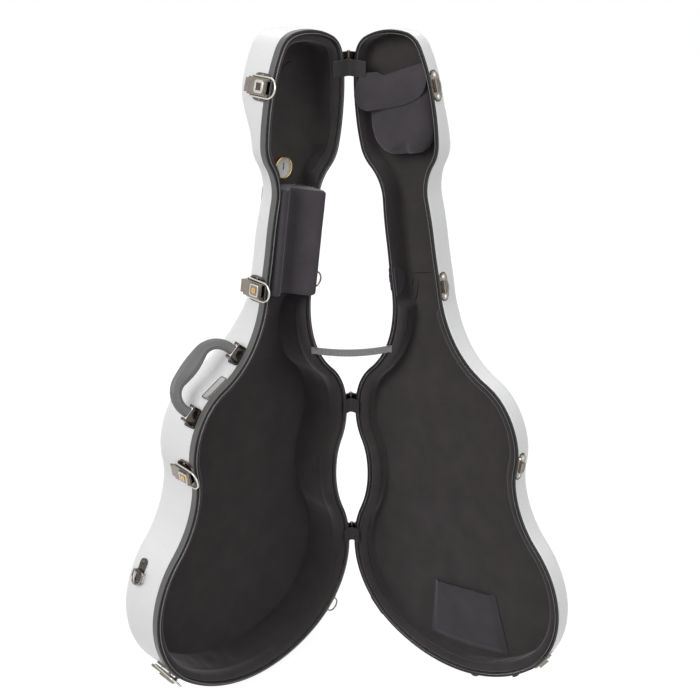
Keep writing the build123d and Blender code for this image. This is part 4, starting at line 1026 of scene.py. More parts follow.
@dataclass(frozen=True)
class Lining:
    """The padded lining of a shell: a soft roll round the rim, a gathered side and a base. Sizes in mm."""

    shell: Shell
    pad: float
    base_pad: float
    thin_from: float
    head_radius: float
    thin_to: float = 842.5
    inset: float = 5.1
    back_gap: float = 3.8
    front: float = 3.4
    neck_panel: float = 0.9
    corner: float = 3.5
    neck_corner_less: float = 7.5
    roll_over: float = 4.6
    around: int = 960
    base_rows: int = 16
    edge_rows: int = 8
    wall_rows: int = 22
    lip_rows: int = 9
    thin_ease: float = 20.0
    roll: tuple[float, float, float] = (1.3, 0.10, 0.10)
    groove: tuple[float, float, float] = (0.7, 0.27, 0.05)
    drifts: tuple[tuple[float, float, float], ...] = ((9.0, 61.0, 0.0), (5.0, 23.0, 1.7))
    pucker_height: float = 0.32
    pucker_slant: float = 26.0
    pucker_wave: float = 4.6
    pucker_swell: float = 47.0
    pucker_phase: float = 0.6
    fold_height: float = 0.38
    fold_slant: float = 30.0
    fold_wave: float = 12.5
    fold_drift: float = 90.0
    fold_wander: float = 2.0
    gathered: tuple[float, float] = (0.66, 0.30)
    calm_share: float = 0.35
    calm_from: float = 200.0
    calm_to: float = 330.0
    ripple_height: float = 0.25
    ripple_waves: tuple[tuple[float, float], ...] = ((31.0, 57.0), (-71.0, 39.0), (23.0, 23.0))

    def build(self) -> None:
        """Build the lining: its outer skin, the roll over the rim, the gathered side and the base."""
        shell = self.shell
        outer = Layer(self.inset, self.back_gap, shell.edge_radius - shell.wall, self.front)
        inner = Layer(self.inset + self.pad, self.back_gap + self.base_pad, self.corner, self.front,
                      self.thin_from, self.thin_to, self.inset + self.neck_panel,
                      shell.edge_radius - self.neck_corner_less, self.head_radius)
        points, depths = join_skins(shell, outer, inner, self.around, self.lip_rows, self.roll_over,
                                    self.base_rows, self.edge_rows, self.wall_rows)
        rim, normal = shell.outline.loop(self.around)
        first = self.base_rows + self.edge_rows + self.wall_rows + self.lip_rows
        side = slice(first, first + self.wall_rows)
        down = np.linspace(0.0, 1.0, self.wall_rows)[:, None]
        points[side] -= normal[None] * self.fullness(rim, down)[..., None]
        base = slice(first + self.wall_rows + self.edge_rows, len(points))
        depths[base] += self.ripples(points[base])
        piece = grid_piece(f"{shell.body}_velour_lining", shell.place(points, depths), wrap_columns=True)
        report(piece, shell.body, "velour_black", stands_for=[f"{shell.body}_lining"])

    def fullness(self, rim: Array, down: Array) -> Array:
        """How far the side stands into the bowl: a roll by the rim, then puckers where cloth is eased in.

        The roll is a bell near the rim with a groove below it. The puckers are slanted waves whose
        phase drifts along the rim, calmer towards the wide end.
        """
        steps = np.linalg.norm(np.diff(np.concatenate([rim, rim[:1]]), axis=0), axis=1)
        along = np.cumsum(steps)[None]
        thick = 1 - smooth(rim[:, 1], self.thin_from - self.thin_ease, self.thin_from) * (
            1 - smooth(rim[:, 1], self.thin_to, self.thin_to + self.thin_ease)
        )[None]
        roll, groove = [size * hump(down, middle, half) for size, middle, half in (self.roll, self.groove)]
        drift = sum(height * np.sin(along / wave + phase) for height, wave, phase in self.drifts)
        swell = 0.5 + 0.5 * np.sin(along / self.pucker_swell + self.pucker_phase)
        pucker = np.sin((along + drift + self.pucker_slant * down) / self.pucker_wave) * swell
        wander = self.fold_wander * np.sin(along / self.fold_drift)
        long_fold = np.sin((along - self.fold_slant * down) / self.fold_wave + wander)
        above_end = smooth(-rim[:, 1], -self.calm_to, -self.calm_from)[None]
        waves = self.pucker_height * pucker + self.fold_height * long_fold
        gathered = hump(down, *self.gathered) * (self.calm_share + (1 - self.calm_share) * above_end)
        return thick * (roll - groove + waves * gathered)

    def ripples(self, points: Array) -> Array:
        """Slow undulations of the base cloth, as a sum of three long waves in mm."""
        x, y = points[..., 0], points[..., 1]
        return self.ripple_height * sum(np.sin(x / across + y / up) for across, up in self.ripple_waves)


@dataclass(frozen=True)
class NeckCradle:
    """The padded saddle block in the body's neck. Sizes in mm; levels are heights over the rim's plane."""

    low: float = 679.0
    high: float = 842.0
    half: float = 38.0
    floor: float = 40.9
    crest: float = 25.0
    strip: float = 7.0
    valley: float = -9.0
    crest_rise: tuple[float, float] = (-8.0, 32.0)
    crest_power: float = 0.8
    strip_rise: tuple[float, float] = (8.0, 28.0)
    edge_power: int = 26
    belly: float = 5.0
    belly_power: int = 8
    top_points: int = 90
    bottom_points: int = 40
    rows: int = 60
    core_depth: float = 22.0
    end_round: float = 5.0
    end_scale: float = 0.07
    swells: tuple[tuple[float, float, float], ...] = ((0.5, 17.0, 0.0), (0.35, 7.3, 1.0))
    swell_across: float = 0.25
    cap_shares: tuple[float, ...] = (0.0, 0.35, 0.7, 0.92)

    def section(self) -> Array:
        """The block's closed section, latch side first, as rows of across and depth in mm.

        It has a narrow strip on the latch side, a concave valley, a high crest by the hinges and a
        rounded bottom.
        """
        across = np.linspace(self.half, -self.half, self.top_points)
        rise_high = smooth(-across, *self.crest_rise) ** self.crest_power * (self.crest - self.valley)
        rise_low = smooth(across, *self.strip_rise) * (self.strip - self.valley)
        top = -(self.valley + rise_high + rise_low)
        edge = np.sqrt(np.clip(1 - (np.abs(across) / self.half) ** self.edge_power, 0.0, 1.0))
        top = self.floor + (top - self.floor) * edge
        bottom_across = np.linspace(-self.half, self.half, self.bottom_points)[1:-1]
        bottom = self.floor - self.belly * (np.abs(bottom_across) / self.half) ** self.belly_power
        return np.concatenate([np.stack([across, top], -1), np.stack([bottom_across, bottom], -1)])

    def build(self) -> None:
        """Carry the section up the neck, with rounded ends and a slow swell to both sides."""
        section = self.section()
        height = np.linspace(self.low, self.high, self.rows)
        end = np.minimum(height - self.low, self.high - height)
        ease = np.sqrt(np.clip(1 - (1 - np.clip(end / self.end_round, 0.0, 1.0)) ** 2, 0.0, 1.0))
        middle = np.array([0.0, self.core_depth])
        scale = 1 - self.end_scale + self.end_scale * ease
        shape = middle + (section[None] - middle) * scale[:, None, None]
        swell = sum(size * np.sin(height / wave + phase) for size, wave, phase in self.swells)
        shape[..., 0] += self.swell_across * swell[:, None]
        points = np.stack([shape[..., 0], np.broadcast_to(height[:, None], shape.shape[:2])], axis=-1)
        caps = []
        for row in (0, -1):
            for share in self.cap_shares:
                capped = middle + (shape[row] - middle) * share
                caps.append(np.stack([capped[:, 0], np.full(len(capped), height[row]), capped[:, 1]], -1))
        body = np.concatenate([points, shape[..., 1:]], axis=-1)
        first = len(self.cap_shares)
        grid = np.concatenate([np.stack(caps[:first]), body, np.stack(caps[first:])[::-1]])
        piece = grid_piece("neck_cradle_pad", BODY.place(grid[..., :2], grid[..., 2]), wrap_columns=True)
        report(piece, "body", "velour_panel", stands_for=["neck_cradle"])


def inflate(piece: Piece, voxel: float, pressure: float, cap: float, frames: int = 20,
            quality: int = 6) -> None:
    """Swell a closed pad with a cloth simulation and keep the result as its mesh.

    Args:
        piece: a closed mesh.
        voxel: remesh size in metres.
        pressure: the cloth's inner pressure.
        cap: the furthest that a point may move, in metres.
        frames: how many frames the simulation runs.
        quality: the simulation's steps in each frame.
    """
    scene = bpy.context.scene
    remesh = piece.modifiers.new("remesh", "REMESH")
    remesh.mode = "VOXEL"
    remesh.voxel_size = voxel
    remesh.use_smooth_shade = True
    bake(piece)
    before = read_points(piece)
    cloth = piece.modifiers.new("swell", "CLOTH")
    cloth.settings.quality = quality
    cloth.settings.use_pressure = True
    cloth.settings.uniform_pressure_force = pressure
    cloth.settings.effector_weights.gravity = 0.0
    for number in range(1, frames + 1):
        scene.frame_set(number)
    bake(piece)
    after = read_points(piece)
    scene.frame_set(1)
    move = after - before
    length = np.linalg.norm(move, axis=1, keepdims=True)
    write_points(piece, before + move * np.minimum(1.0, cap / np.maximum(length, LEAST_SPREAD)))


def bake(piece: Piece) -> None:
    """Put the modifiers' result into the mesh and drop them."""
    graph = bpy.context.evaluated_depsgraph_get()
    mesh = bpy.data.meshes.new_from_object(piece.evaluated_get(graph))
    piece.modifiers.clear()
    piece.data = mesh
    mesh.polygons.foreach_set("use_smooth", np.ones(len(mesh.polygons), bool))


def read_points(piece: Piece) -> Array:
    """A mesh's points as rows of x, y, z."""
    flat = np.empty(len(piece.data.vertices) * 3, np.float32)
    piece.data.vertices.foreach_get("co", flat)
    return flat.reshape(-1, 3).astype(float)


def write_points(piece: Piece, points: Array) -> None:
    """Set a mesh's points."""
    piece.data.vertices.foreach_set("co", points.astype(np.float32).ravel())
    piece.data.update()


def subdivide(piece: Piece, levels: int = 1) -> None:
    """Smooth a piece with a subdivision surface, the same in the view and the render."""
    modifier = piece.modifiers.new("smooth", "SUBSURF")
    modifier.levels = modifier.render_levels = levels


def rounded_outline(half_top: float, half_low: float, low: float, high: float, low_radius: float,
                    high_radius: float, count: int) -> Array:
    """A closed four-sided outline with rounded corners, from the top middle round, as rows of x, y.

    Args:
        half_top: half width at the top.
        half_low: half width at the bottom.
        low: bottom height.
        high: top height.
        low_radius: radius of the two bottom corners.
        high_radius: radius of the two top corners.
        count: number of points.

    Returns:
        Evenly spaced points.
    """
    corners = ((half_top, high, high_radius), (half_low, low, low_radius), (-half_low, low, low_radius),
               (-half_top, high, high_radius))
    rows = [np.array([[0.0, high]])]
    turn = np.linspace(math.pi / 2, 0.0, CORNER_POINTS)
    for number, (x, y, radius) in enumerate(corners):
        centre = np.array([x - math.copysign(radius, x), y + (radius if y == low else -radius)])
        angle = turn - number * math.pi / 2
        rows.append(centre + radius * np.stack([np.cos(angle), np.sin(angle)], -1))
    rows.append(rows[0])
    return even_points(np.concatenate(rows), count + 1)[:-1]


@dataclass(frozen=True)
class HeadPouch:
    """The padded pouch in the lid's head and the flap that hangs over it. Sizes in mm."""

    low: float = 886.0
    top: float = 1006.0
    half: float = 63.0
    low_half: float = 61.5
    corner: float = 44.0
    top_corner: float = 12.0
    back: float = 25.8
    thickness: float = 16.0
    face_power: int = 10
    outline_points: int = 160
    face_rows: int = 26
    voxel: float = 0.0045
    pressure: float = 3.0
    swell: float = 0.003
    flap_front: float = 6.0
    flap_sheet: float = 2.4
    over_roll: float = 2.2
    roll_span: tuple[float, float] = (-56.0, -14.0)
    crease: tuple[float, float, float] = (1.2, -16.0, 6.0)
    bulge: float = 1.6
    sag: tuple[float, float, float] = (0.4, 3.1, 2.4)
    root: float = 7.0
    root_power: int = 4
    root_span: tuple[float, float] = (-25.0, 12.0)
    flap_points: tuple[int, int] = (70, 46)
    drop_column: int = 45
    seam_foot: float = 0.07
    seam_side: float = 0.13
    seam_crown: float = 0.12
    flap_crown: tuple[tuple[float, float], ...] = (
        (-70.1, 984.3), (-65.2, 995.3), (-60.7, 1002.5), (-51.5, 1013.0), (-40.3, 1013.9), (-25.6, 1012.8),
        (-19.7, 1007.4), (-14.4, 1007.6), (17.4, 1014.0), (48.3, 1019.8), (58.7, 1020.6), (61.9, 1016.0),
    )
    flap_foot: tuple[tuple[float, float], ...] = (
        (-70.1, 976.9), (-68.9, 969.3), (-61.4, 961.6), (-49.7, 957.5), (-19.6, 959.3), (9.6, 962.5),
        (29.0, 966.8), (43.8, 972.5), (55.4, 981.9), (61.9, 995.8),
    )

    def build(self) -> None:
        """Build the pouch, then the flap with its stitches."""
        self.pouch()
        self.flap()

    def pouch(self) -> None:
        """The pouch: two faces over one outline, swelled by a cloth simulation, flat at its back."""
        outline = rounded_outline(self.half, self.low_half, self.low, self.top, self.corner, self.top_corner,
                                  self.outline_points)
        centre = np.array([0.0, (self.low + self.top) / 2])
        share = np.linspace(0.0, 1.0, self.face_rows)
        front = centre + (outline[None] - centre) * share[:, None, None]
        height = self.thickness * np.sqrt(np.clip(1 - share**self.face_power, 0.0, 1.0))
        front_depth = np.broadcast_to((self.back - height)[:, None], front.shape[:2])
        back = front[::-1]
        back_depth = np.full(back.shape[:2], self.back)
        points = np.concatenate([front, back[1:]])
        depth = np.concatenate([front_depth, back_depth[1:]])
        piece = grid_piece("head_pouch_pad", LID.place(points, depth), wrap_columns=True)
        inflate(piece, self.voxel, self.pressure, self.swell)
        origin, _, _, into = LID.axes()
        world = read_points(piece)
        behind = (world - origin) @ into - self.back * MM
        write_points(piece, world - np.maximum(behind, 0.0)[:, None] * into)
        subdivide(piece)
        report(piece, "lid", "velour_panel", stands_for=["head_pouch"])

    def flap_shape(self, s: Array, t: Array) -> tuple[Array, Array]:
        """The flap as a sheet: s runs across from the hinge side, t from its top edge down.

        Its height at each place across runs from its top line to its bottom line, both softened. It
        hangs in front of the pouch, and its hinge side bulges out over the rim's roll.

        Returns:
            Points in mm as x, y, and how deep each lies.
        """
        first, last = self.flap_foot[0][0], self.flap_foot[-1][0]
        x = first + (last - first) * (0.5 - 0.5 * np.cos(math.pi * s))
        top, low = soft_line(self.flap_crown, x), soft_line(self.flap_foot, x)
        y = top + (low - top) * t
        over_roll = (self.flap_front + self.over_roll) * (1 - smooth(x, *self.roll_span))
        crease_height, crease_place, crease_half = self.crease
        crease = crease_height * hump(x, crease_place, crease_half) * (1 - t)
        bulge = self.bulge * np.sin(math.pi * t) * np.sin(math.pi * s)
        sag_height, sag_across, sag_down = self.sag
        sag = sag_height * np.sin(sag_across * s + sag_down * t)
        rooted = self.root * np.clip(1 - t, 0.0, 1.0) ** self.root_power * smooth(x, *self.root_span)
        return np.stack([x, y], -1), self.flap_front - over_roll + crease - bulge - sag + rooted

    def flap(self) -> None:
        """The flap's cloth, given its thickness, with a row of thread round its edge."""
        points, depth = self.flap_shape(*sheet_grid(*self.flap_points))
        grid = LID.place(points, depth)
        piece = grid_piece("pouch_flap_cloth", grid, closed=False)
        thicken(piece, self.flap_sheet * MM)
        report(piece, "flap", "velour_panel", stands_for=["pouch_flap"])
        path_s, path_t = seam_path(self.seam_side, self.seam_crown, self.seam_foot, down=60, across=90)
        points, depth = self.flap_shape(path_s, path_t)
        line = LID.place(points, depth - self.flap_sheet / 2)
        sew("pouch_flap_stitches", line, -LID.axes()[3], "flap")


def seam_path(side: float, crown: float, foot: float, down: int, across: int) -> tuple[Array, Array]:
    """A seam down one side of a sheet, along its foot and up the other side, as shares of the sheet.

    Args:
        side: how far in from each side it runs.
        crown: how far below the top it starts and ends.
        foot: how far above the bottom it crosses.
        down: points on each side.
        across: points along the foot.

    Returns:
        The seam's place across and its place down.
    """
    fall = np.linspace(crown, 1 - foot, down)
    path_s = [np.full(down, side), np.linspace(side, 1 - side, across), np.full(down, 1 - side)]
    path_t = [fall, np.full(across, 1 - foot), np.linspace(1 - foot, crown, down)]
    return np.concatenate(path_s), np.concatenate(path_t)


def soft_line(corners: Sequence[tuple[float, float]], x: Array, reach: float = 3.0,
              count: int = 13) -> Array:
    """Heights along a line through corners, each the mean over a short reach to both sides."""
    places, heights = np.array(corners).T
    shifts = np.linspace(-reach, reach, count)
    ends = np.minimum(x - places[0], places[-1] - x)[..., None]
    return np.interp(x[..., None] + shifts * np.clip(ends / reach, 0.0, 1.0), places, heights).mean(axis=-1)


def thicken(piece: Piece, thickness: float, edge_share: float = 0.3, sharp: float = 50.0) -> None:
    """Give a sheet its thickness on both sides, and round each edge of more than sharp degrees."""
    solid = piece.modifiers.new("thickness", "SOLIDIFY")
    solid.thickness = thickness
    solid.offset = 0.0
    solid.use_even_offset = True
    edge = piece.modifiers.new("edge", "BEVEL")
    edge.width = thickness * edge_share
    edge.segments = 2
    edge.limit_method = "ANGLE"
    edge.angle_limit = math.radians(sharp)


def sew(name: str, line: Array, outwards: Array, body: str, pitch: float = 3.2, reach: float = 0.36,
        half_width: float = 0.35, half_height: float = 0.3, lift: float = 0.12) -> None:
    """A row of stitches along a line on a surface.

    Args:
        name: the piece's name.
        line: points of the seam in metres.
        outwards: the surface's way out, a unit vector or one for each point.
        body: the body that the stitches ride on.
        pitch: from one stitch to the next, in mm.
        reach: a stitch's half length, as a share of the pitch.
        half_width: a stitch's half width, in mm.
        half_height: a stitch's half height, in mm.
        lift: how far its middle stands over the line, in mm.
    """
    length = np.linalg.norm(np.diff(line, axis=0), axis=1).sum()
    count = max(2, int(length / (pitch * MM)))
    outwards = np.broadcast_to(outwards, line.shape)
    rows = even_points(np.concatenate([line, outwards], axis=1), 2 * count + 1)
    middle, along = rows[1::2], rows[2::2, :3] - rows[:-2:2, :3]
    along = along / np.linalg.norm(along, axis=1, keepdims=True)
    across = np.cross(middle[:, 3:], along)
    across /= np.linalg.norm(across, axis=1, keepdims=True)
    half = (reach * pitch * MM, half_width * MM, half_height * MM)
    piece = many(name, middle[:, :3] + middle[:, 3:] * lift * MM, along, across, half)
    report(piece, body, "velour_panel", finish="thread")


@dataclass(frozen=True)
class LidPockets:
    """The flat pocket low in the lid, the half-moon tab in its neck, and near-black cords on its sewn folds as
    painted shade. Sizes in mm.
    """

    low: float = 38.0
    high: float = 146.0
    low_half: float = 81.0
    high_half: float = 62.0
    across: float = 6.0
    back: float = 32.6
    sheet: float = 1.6
    room: float = 6.6
    moon_height: float = 690.0
    moon_radius: float = 23.0
    moon_reach: float = 26.0
    moon_front: float = 4.0
    moon_sheet: float = 1.4
    moon_inset: float = 6.1
    moon_end: float = 0.985
    moon_bulge: float = 0.6
    moon_points: tuple[int, int] = (48, 30)
    piping: float = 1.1
    piping_lift: float = 0.8
    seam_edge: float = 0.03
    bow: float = 7.0
    slant: float = 3.5
    hem: float = 3.0
    side_ease: float = 0.10
    foot_ease: float = 0.12
    foot_share: float = 0.55
    wave: tuple[float, float, float] = (0.5, 5.0, 3.0)
    pocket_points: tuple[int, int] = (80, 60)
    moon_seam: tuple[float, float] = (0.88, 0.86)
    moon_seam_points: int = 80
    moon_pitch: float = 2.8
    fold_back: float = 8.1
    fold_bow: float = 1.2
    fold_half: tuple[float, float] = (0.9, 0.5)
    fold_end: float = 0.25
    fold_points: int = 40
    folds: tuple[tuple[tuple[float, float], ...], ...] = (
        ((-38.0, 694.0), (-58.0, 650.0), (-82.0, 606.0)), ((-30.0, 695.0), (-49.0, 650.0), (-70.0, 610.0)),
        ((-19.0, 695.0), (-32.0, 658.0), (-50.0, 621.0)), ((-40.0, 695.0), (7.0, 699.0)),
    )

    def build(self) -> None:
        """Build the pocket, the tab and the painted fold shadows."""
        self.pocket()
        self.moon()
        self.paint_fold_shadows()

    def paint_fold_shadows(self) -> None:
        """The sewn folds that fan out where the neck's panel meets the bowl, drawn as flat near-black cords that
        paint the shade in each fold.
        """
        for number, corners in enumerate(self.folds, start=1):
            line = even_points(np.array(corners), self.fold_points)
            rise = np.sin(np.linspace(0.0, math.pi, self.fold_points))
            line[:, 0] += self.fold_bow * rise
            points = LID.place(line, LID.depth(line[:, 1]) - self.fold_back)
            into = np.broadcast_to(LID.axes()[3], points.shape)
            taper = (self.fold_end + (1 - self.fold_end) * rise)[:, None, None]
            section = oval(*np.multiply(self.fold_half, MM), count=12)
            piece = tube_piece(f"neck_fold_shadow_cord_{number}", points, np.cross(directions(points), into), into,
                               section[None] * taper)
            report(piece, "lid", "velour_black", finish="fold_shadow")

    def pocket_shape(self, s: Array, t: Array) -> tuple[Array, Array]:
        """The pocket's front: s across, t down from its mouth. It stands off its back between its seams."""
        half = self.high_half + (self.low_half - self.high_half) * t
        bow = self.bow * (1 - (2 * s - 1) ** 2) * t**2
        x = self.across + (2 * s - 1) * half - self.slant * t
        y = self.high - t * (self.high - self.low) - bow + self.hem
        free = smooth(np.minimum(s, 1 - s), 0.0, self.side_ease) * smooth(1 - t, 0.0, self.foot_ease)
        off = self.room * free * (self.foot_share + (1 - self.foot_share) * (1 - t))
        wave_height, wave_across, wave_down = self.wave
        wave = wave_height * np.sin(wave_across * s + wave_down * t) * free
        return np.stack([x, y], -1), self.back - self.sheet / 2 - off - wave

    def pocket(self) -> None:
        """The pocket's cloth, with stitches round its sewn sides."""
        points, depth = self.pocket_shape(*sheet_grid(*self.pocket_points))
        piece = grid_piece("document_pocket_cloth", LID.place(points, depth), closed=False)
        thicken(piece, self.sheet * MM)
        report(piece, "lid", "velour_panel", stands_for=["document_pocket"])
        path_s, path_t = seam_path(self.seam_edge, self.seam_edge, self.seam_edge, down=50, across=80)
        points, depth = self.pocket_shape(path_s, path_t)
        sew("document_pocket_stitches", LID.place(points, depth - self.sheet / 2), -LID.axes()[3], "lid")

    def moon(self) -> None:
        """The half-moon tab on the neck's hinge-side wall, with piping on its straight edge."""
        s, t = sheet_grid(*self.moon_points, low=-1.0)
        width = self.moon_radius * np.sqrt(np.clip(1 - (t * self.moon_end) ** 2, 0.0, 1.0))
        height = self.moon_height + s * width
        depth = self.moon_front + t * self.moon_reach
        bulge = self.moon_bulge * np.sin(math.pi * t) * (1 - s**2)
        points = LID.outline.inside(height, self.moon_inset + self.moon_sheet / 2 + bulge, Side.HINGE)
        piece = grid_piece("half_moon_tab", LID.place(points, depth), closed=False)
        thicken(piece, self.moon_sheet * MM)
        report(piece, "lid", "velour_panel", stands_for=["half_moon_patch"])
        _, across, _, into = LID.axes()
        line = LID.place(points[0], depth[0]) + across * self.piping_lift * MM
        section = oval(self.piping * MM, self.piping * MM, count=12)
        cord = tube_piece("half_moon_piping", line, np.broadcast_to(into, line.shape),
                          np.cross(directions(line), into), section)
        report(cord, "lid", "velour_panel", finish="thread")
        turn = np.linspace(math.pi, 0.0, self.moon_seam_points)
        edge_s, edge_t = np.cos(turn), np.sin(turn)
        seam_up, seam_down = self.moon_seam
        ring_height = self.moon_height + edge_s * self.moon_radius * seam_up
        ring_depth = self.moon_front + edge_t * self.moon_reach * seam_down
        bulge = self.moon_bulge * np.sin(math.pi * edge_t) * (1 - edge_s**2)
        points = LID.outline.inside(ring_height, self.moon_inset + self.moon_sheet + bulge, Side.HINGE)
        sew("half_moon_stitches", LID.place(points, ring_depth), across, "lid", pitch=self.moon_pitch)


@dataclass(frozen=True)
class ClothTies:
    """The stay strap and the cloth flaps over the hinges. Sizes in mm."""

    strap_height: float = 577.0
    strap_width: float = 12.0
    strap_sheet: float = 1.4
    strap_inset: float = 9.0
    strap_depth: float = 2.2
    strap_sag: float = 6.0
    strap_tails: tuple[float, ...] = (1.5, 3.5, 5.0)
    strap_twist: float = 0.12
    strap_points: tuple[int, int] = (72, 13)
    sag_points: int = 60
    flap_levels: tuple[float, ...] = (189.5, 443.5, 1006.5)
    flap_reaches: tuple[float, ...] = (20.0, 20.0, 36.0)
    flap_height: float = 25.0
    flap_sheet: float = 1.2
    flap_stand_off: float = 3.2
    flap_bend: float = 5.0
    flap_points: tuple[int, int] = (48, 15)
    flap_wave: float = 0.35
    flap_waves: float = 9.0
    blend_share: float = 0.4

    def build(self) -> None:
        """Build the strap and the three flaps."""
        self.strap()
        for number, (level, reach) in enumerate(zip(self.flap_levels, self.flap_reaches), start=1):
            self.hinge_flap(number, level, reach)

    def strap(self) -> None:
        """The strap hangs slack between the shells; its ends are folded tabs sewn to the linings."""
        point, _ = BODY.outline.at(self.strap_height)
        spot = np.array([[-(point[0] - self.strap_inset), self.strap_height]])
        start = BODY.place(spot, np.array([self.strap_depth]))[0]
        end = LID.place(spot, np.array([self.strap_depth]))[0]
        share = np.linspace(0.0, 1.0, self.sag_points)[:, None]
        sag = 4 * share * (1 - share) * self.strap_sag * MM
        line = start + (end - start) * share - sag * np.array([0.0, 0.0, 1.0])
        body_across, lid_across = BODY.axes()[1], LID.axes()[1]
        tails = [start + body_across * MM * reach for reach in self.strap_tails[::-1]]
        far_tails = [end + lid_across * MM * reach for reach in self.strap_tails]
        rows, columns = self.strap_points
        line = even_points(np.concatenate([tails, line, far_tails]), rows)
        twist = self.strap_twist * np.sin(np.linspace(0.0, math.pi, rows))[:, None]
        up = np.array([0.0, 0.0, 1.0]) + twist * np.array([0.0, 1.0, 0.0])
        across = np.linspace(-0.5, 0.5, columns) * self.strap_width * MM
        grid = line[:, None] + up[:, None] * across[None, :, None]
        piece = grid_piece("stay_strap_web", grid, closed=False)
        thicken(piece, self.strap_sheet * MM)
        report(piece, "body", "webbing", stands_for=["stay_strap"], rides=False)
        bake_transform(piece)

    def hinge_flap(self, number: int, level: float, reach: float) -> None:
        """A flap over one hinge: glued to both linings and rounded where it crosses the gap."""
        hinge = hinge_place()
        outs, faces = [], []
        for shell in (BODY, LID):
            angle = math.radians(shell.turn)
            outs.append(np.array([math.cos(angle), math.sin(angle)]))
            faces.append(shell.axes()[3][:2])
        half_opening = math.acos(np.clip(outs[0] @ outs[1], -1, 1)) / 2
        bisector = unit(outs[0] + outs[1])
        corner = bisector * self.flap_stand_off / math.sin(half_opening)
        ends = [out * reach - face * self.flap_stand_off for out, face in zip(outs, faces)]
        rows, columns = self.flap_points
        line = even_points(rounded_line([ends[0], corner, ends[1]], self.flap_bend), rows) * MM + hinge[:2]
        line = np.concatenate([line, np.full((rows, 1), level * MM)], axis=1)
        across = np.linspace(-0.5, 0.5, columns)
        soft = self.flap_wave * MM * np.sin(across * self.flap_waves + number)
        grid = line[:, None] + np.array([0.0, 0.0, 1.0]) * (across * self.flap_height * MM)[None, :, None]
        grid = grid + np.array([*bisector, 0.0]) * soft[None, :, None]
        piece = grid_piece(f"hinge_flap_cloth_{number}", grid, closed=False)
        thicken(piece, self.flap_sheet * MM)
        report(piece, "body", "webbing", "flap_webbing", stands_for=[f"hinge_flap_{number}"], rides=False)
        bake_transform(piece)


@dataclass(frozen=True)
class CarryingHandle:
    """The moulded grip: a rounded bow, fuller in its middle, with fine ridges along it. Sizes in mm."""

    low: float = 495.0
    high: float = 583.0
    depth: float = 23.0
    pivot: float = 13.0
    reach: float = 40.0
    bend: float = 33.0
    droop: float = 37.0
    rows: int = 110
    bend_points: int = 30
    thick: float = 8.0
    thick_swell: tuple[float, float] = (5.0, 0.40)
    wide: float = 8.4
    wide_swell: tuple[float, float] = (3.4, 0.45)
    waist: tuple[float, float, float] = (0.8, 0.68, 0.12)
    section_power: float = 2.6
    section_points: int = 144
    ridges: int = 16
    ridge_height: float = 0.022
    smooth_edge: float = 0.25
    inner_share: float = 0.3

    def build(self) -> None:
        """Carry the grip's section along the bow between the two brackets."""
        places = [BODY.wall_frame(height, 0.0).origin for height in (self.low, self.high)]
        _, _, _, into = BODY.axes()
        chord = (places[1] - places[0]) / MM
        half = np.linalg.norm(chord) / 2
        way = unit(chord)
        out = np.cross(way, into)
        origin = (places[0] + places[1]) / 2 + into * self.depth * MM
        corners = [(-half, 0.0), (-half, self.reach), (half, self.reach), (half, 0.0)]
        line = even_points(rounded_line(corners, self.bend, self.bend_points), self.rows)
        ahead = directions(line)
        inward = np.stack([ahead[:, 1], -ahead[:, 0]], -1)
        droop = math.radians(self.droop)
        away = out * math.cos(droop) + into * math.sin(droop)
        side = np.cross(way, away)
        pivot = origin + out * self.pivot * MM
        share = np.linspace(-1.0, 1.0, self.rows)
        path = pivot + (line[:, :1] * way + line[:, 1:] * away) * MM
        thick_more, thick_half = self.thick_swell
        wide_more, wide_half = self.wide_swell
        waist, waist_place, waist_half = self.waist
        thick = self.thick + thick_more * hump(share, 0.0, thick_half)
        wide = self.wide + wide_more * hump(share, 0.0, wide_half)
        wide = wide - waist * hump(np.abs(share), waist_place, waist_half)
        base = oval(1.0, 1.0, power=self.section_power, count=self.section_points)
        angle = np.arange(self.section_points) * (2 * math.pi * self.ridges / self.section_points)
        ridged = np.abs(base[:, 0]) > self.smooth_edge
        section = base * (1 + self.ridge_height * np.cos(angle) * ridged)[:, None]
        sections = section[None] * np.stack([wide, thick], -1)[:, None] * MM
        sections[..., 1] -= self.inner_share * (thick[:, None] - self.thick) * MM
        up = -(inward[:, :1] * way + inward[:, 1:] * away)
        piece = tube_piece("handle_grip_moulding", path, np.broadcast_to(side, path.shape), up, sections)
        report(piece, "handle", "grip_black", stands_for=["handle_grip"])


